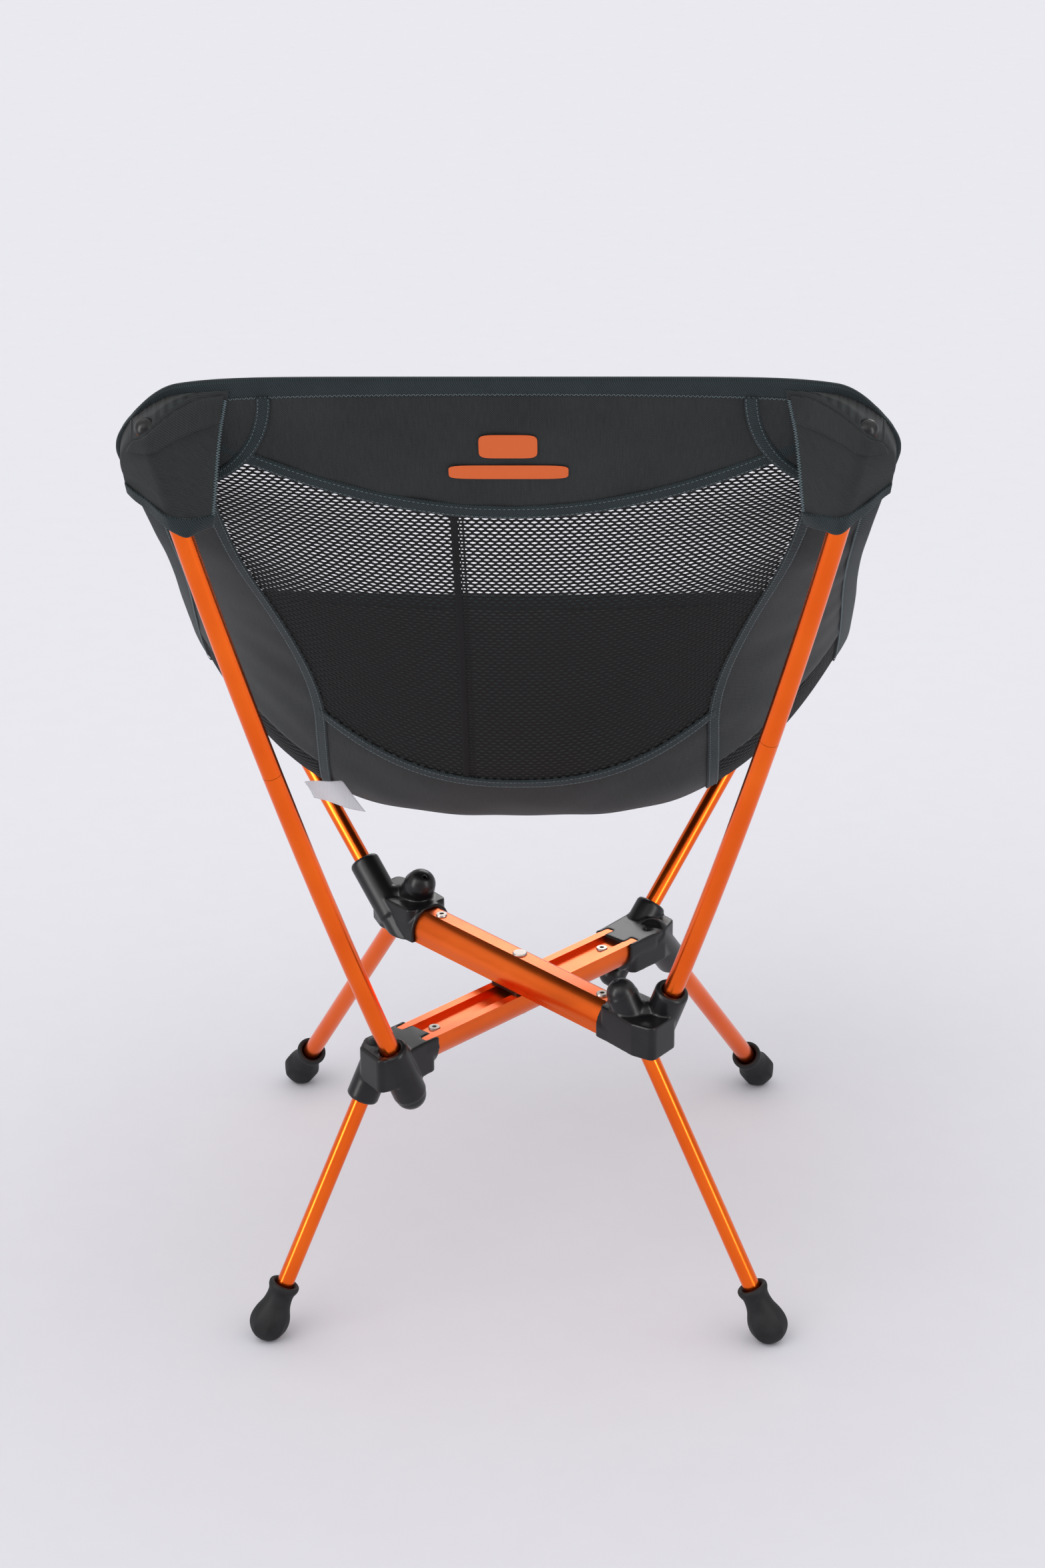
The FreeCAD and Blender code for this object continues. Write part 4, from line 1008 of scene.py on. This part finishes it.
def build_hubs():
    """Moulded corner hubs: thick socket barrels blended into one lump, with flared mouths."""
    for corner, body in FEET.items():
        node = frame["nodes"]["hub_" + corner]
        shell = np.array([vertex.co for vertex in node.data.vertices])
        middle = (shell.min(0) + shell.max(0)) / 2
        extras, cutters, roots = [], [], []
        for tube in SOCKETS[corner]:
            end, along, radius = socket_line(tube, middle)
            run = (shell - end) @ along
            side = np.linalg.norm(shell - end - run[:, None] * along, axis=1)
            mouth = run[side < radius + 4.5 * MM].max()
            thick = radius + BARREL_WALL
            extras.append(turned_solid(end, along, [(thick - 3 * MM, -4 * MM), (thick, -1 * MM),
                                                    (thick, mouth - 2 * MM), (thick - 1.6 * MM, mouth)]))
            bore = radius + BORE_PLAY
            cutters.append(turned_solid(end, along, [(bore, 0), (bore, mouth - 2.4 * MM),
                                                     (bore + MOUTH_FLARE, mouth + 0.6 * MM),
                                                     (bore + MOUTH_FLARE, mouth + 40 * MM)]))
            roots.append(end + along * mouth * 0.3)
        span = np.linalg.norm(roots[1] - roots[0])
        extras.append(turned_solid(roots[0], roots[1] - roots[0], [(WEB_RADIUS, 0), (WEB_RADIUS, span)]))
        hub = moulded("moulding_" + corner, "hub_" + corner, extras, rounds=9)
        for points, faces in cutters:
            tool = new_piece("bore", points, faces, HUB)
            cut = hub.modifiers.new("bore", "BOOLEAN")
            cut.operation, cut.solver, cut.object = "DIFFERENCE", "MANIFOLD", tool
            plain_mesh(hub)
            bpy.data.objects.remove(tool)
        finish_piece(hub, "hub_plastic", "hub_" + corner, body=body)


def build_feet():
    """Rubber feet: a ball with eight flat ovals, a neck and a collar with a rounded lip."""
    for corner in FEET:
        tube = frame["nodes"]["leg_tube_" + corner].data.vertices
        points = np.array([vertex.co for vertex in tube])
        top = points[points[:, 2] > points[:, 2].max() - 10 * MM].mean(0)
        low_end = points[points[:, 2] < points[:, 2].min() + 10 * MM].mean(0)
        along = (top - low_end) / np.linalg.norm(top - low_end)
        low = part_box("foot_" + corner)[0]
        ball = 15.2 * MM
        drop = (low_end[2] - (low[2] + 14.6 * MM)) / along[2]
        centre = low_end - along * drop
        thick = 0.75 * MM if corner.startswith("front") else 0.0
        profile = [
            (-1.0, 0.0), (-0.97, 4.0), (-0.88, 7.4), (-0.72, 10.6), (-0.5, 13.2), (-0.22, 14.9), (0.05, 15.3),
            (0.35, 14.9), (0.62, 13.6), (0.85, 12.0), (1.05, 10.9), (1.3, 10.2), (1.55, 9.9), (1.75, 10.1),
            (1.88, 10.9), (1.98, 11.6), (2.1, 11.9), (2.2, 11.7), (2.26, 11.0), (2.27, 9.4), (2.2, 7.6),
            (1.9, 7.4),
        ]
        across = np.cross(along, [0, 1, 0])
        across /= np.linalg.norm(across)
        other = np.cross(along, across)
        segments, spots = 96, []
        for k in range(segments):
            turn = 2 * math.pi * k / segments
            out = across * math.cos(turn) + other * math.sin(turn)
            for height, radius in profile:
                body_share = math.exp(-((height + 0.05) / 0.62) ** 2)
                flat = math.cos(math.pi / 8) / math.cos((turn % (math.pi / 4)) - math.pi / 8)
                radius = radius * (1 + (flat - 1) * 0.9 * body_share) + thick * 1000 * (height > 0.9)
                spot = centre + out * radius * MM + along * height * ball
                spot[2] = max(spot[2], low[2] + 0.15 * MM)
                spots.append(spot)
        foot = new_piece("rubber_foot_" + corner, spots, grid_faces(segments, len(profile), wrap=True), FOOT)
        finer = foot.modifiers.new("finer", "SUBSURF")
        finer.levels = finer.render_levels = 1
        finish_piece(plain_mesh(foot), "foot_rubber", "foot_" + corner, body="leg_" + corner)


# ---------------------------------------------------------------- label and print
def build_label():
    """A folded care label that hangs under the seat's left side."""
    low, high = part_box("care_label")
    s, t = np.meshgrid(np.linspace(0, 1, 24), np.linspace(0, 1, 16), indexing="ij")
    wide, tall = high[0] - low[0], high[2] - low[2]
    x = low[0] + wide * (0.62 * s + 0.38 * t * (0.4 + s * 0.6))
    z = high[2] - tall * (t * (0.55 + 0.45 * s))
    y = (low[1] + high[1]) / 2 + 2.2 * MM * np.sin(3.0 * t + 2.0 * s) + 1.2 * MM * np.sin(7 * s)
    front = np.stack([x, y - 0.12 * MM, z], -1)
    uv = np.stack([x, z], -1).reshape(-1, 2)
    made = two_sided("label", front, front + np.array([0, 0.24 * MM, 0]), uv, LABEL)
    finish_piece(made, "label_film", "care_label")


def build_print():
    """A plain printed mark on the top band: two rounded bars."""
    ink = Shader("ink_orange", (0.80, 0.13, 0.012), 0.55)
    ink.bump(ink.noise(ink.place("Object"), 1500.0, 2.0), 0.0001, 0.4)
    bars = (("print_upper", 0.47, 0.075, 0.085), ("print_lower", 0.66, 0.155, 0.052))
    for name, middle, wide, tall in bars:
        turn = np.linspace(0, 2 * math.pi, 65)[:-1]
        ring = np.linspace(0, 1, 9)
        square = 1 / np.maximum(np.abs(np.cos(turn)) ** 6 + np.abs(np.sin(turn)) ** 6, 1e-9) ** (1 / 6)
        u = 0.0 + wide * ring[None] * (np.cos(turn) * square)[:, None]
        v = middle + tall * ring[None] * (np.sin(turn) * square)[:, None]
        points = sling_point(u, v) - sling_normal(u, v) * 1.9 * MM
        made = new_piece(name, points.reshape(-1, 3), grid_faces(64, 9, wrap=True), ink.material)
        finish_piece(made, "sling_fabric")


# ---------------------------------------------------------------- run
place_camera()
studio()
build_sling()
build_bindings()
build_seams()
build_back_pockets()
build_front_pockets()
build_hubs()
build_feet()
build_label()
build_print()

floor_corners = [(-20, -20, 0), (20, -20, 0), (20, 20, 0), (-20, 20, 0)]
floor = new_piece("floor", floor_corners, [(0, 1, 2, 3)], floor_material())

PAINT = {
    "crossbar_anodised": BAR, "tube_anodised": TUBE, "rivet_metal": RIVET,
    "ferrule_metal": FERRULE, "hub_plastic": HUB, "foot_rubber": FOOT,
    "shock_cord": CORD, "sling_fabric": CLOTH, "sling_mesh": YARN,
    "binding_tape": TAPE, "label_film": LABEL,
}
for entry in frame["record"]["subparts"]:
    shown = frame["nodes"][entry["node"]]
    shown.data.materials.clear()
    shown.data.materials.append(PAINT[entry["material_slot"]])
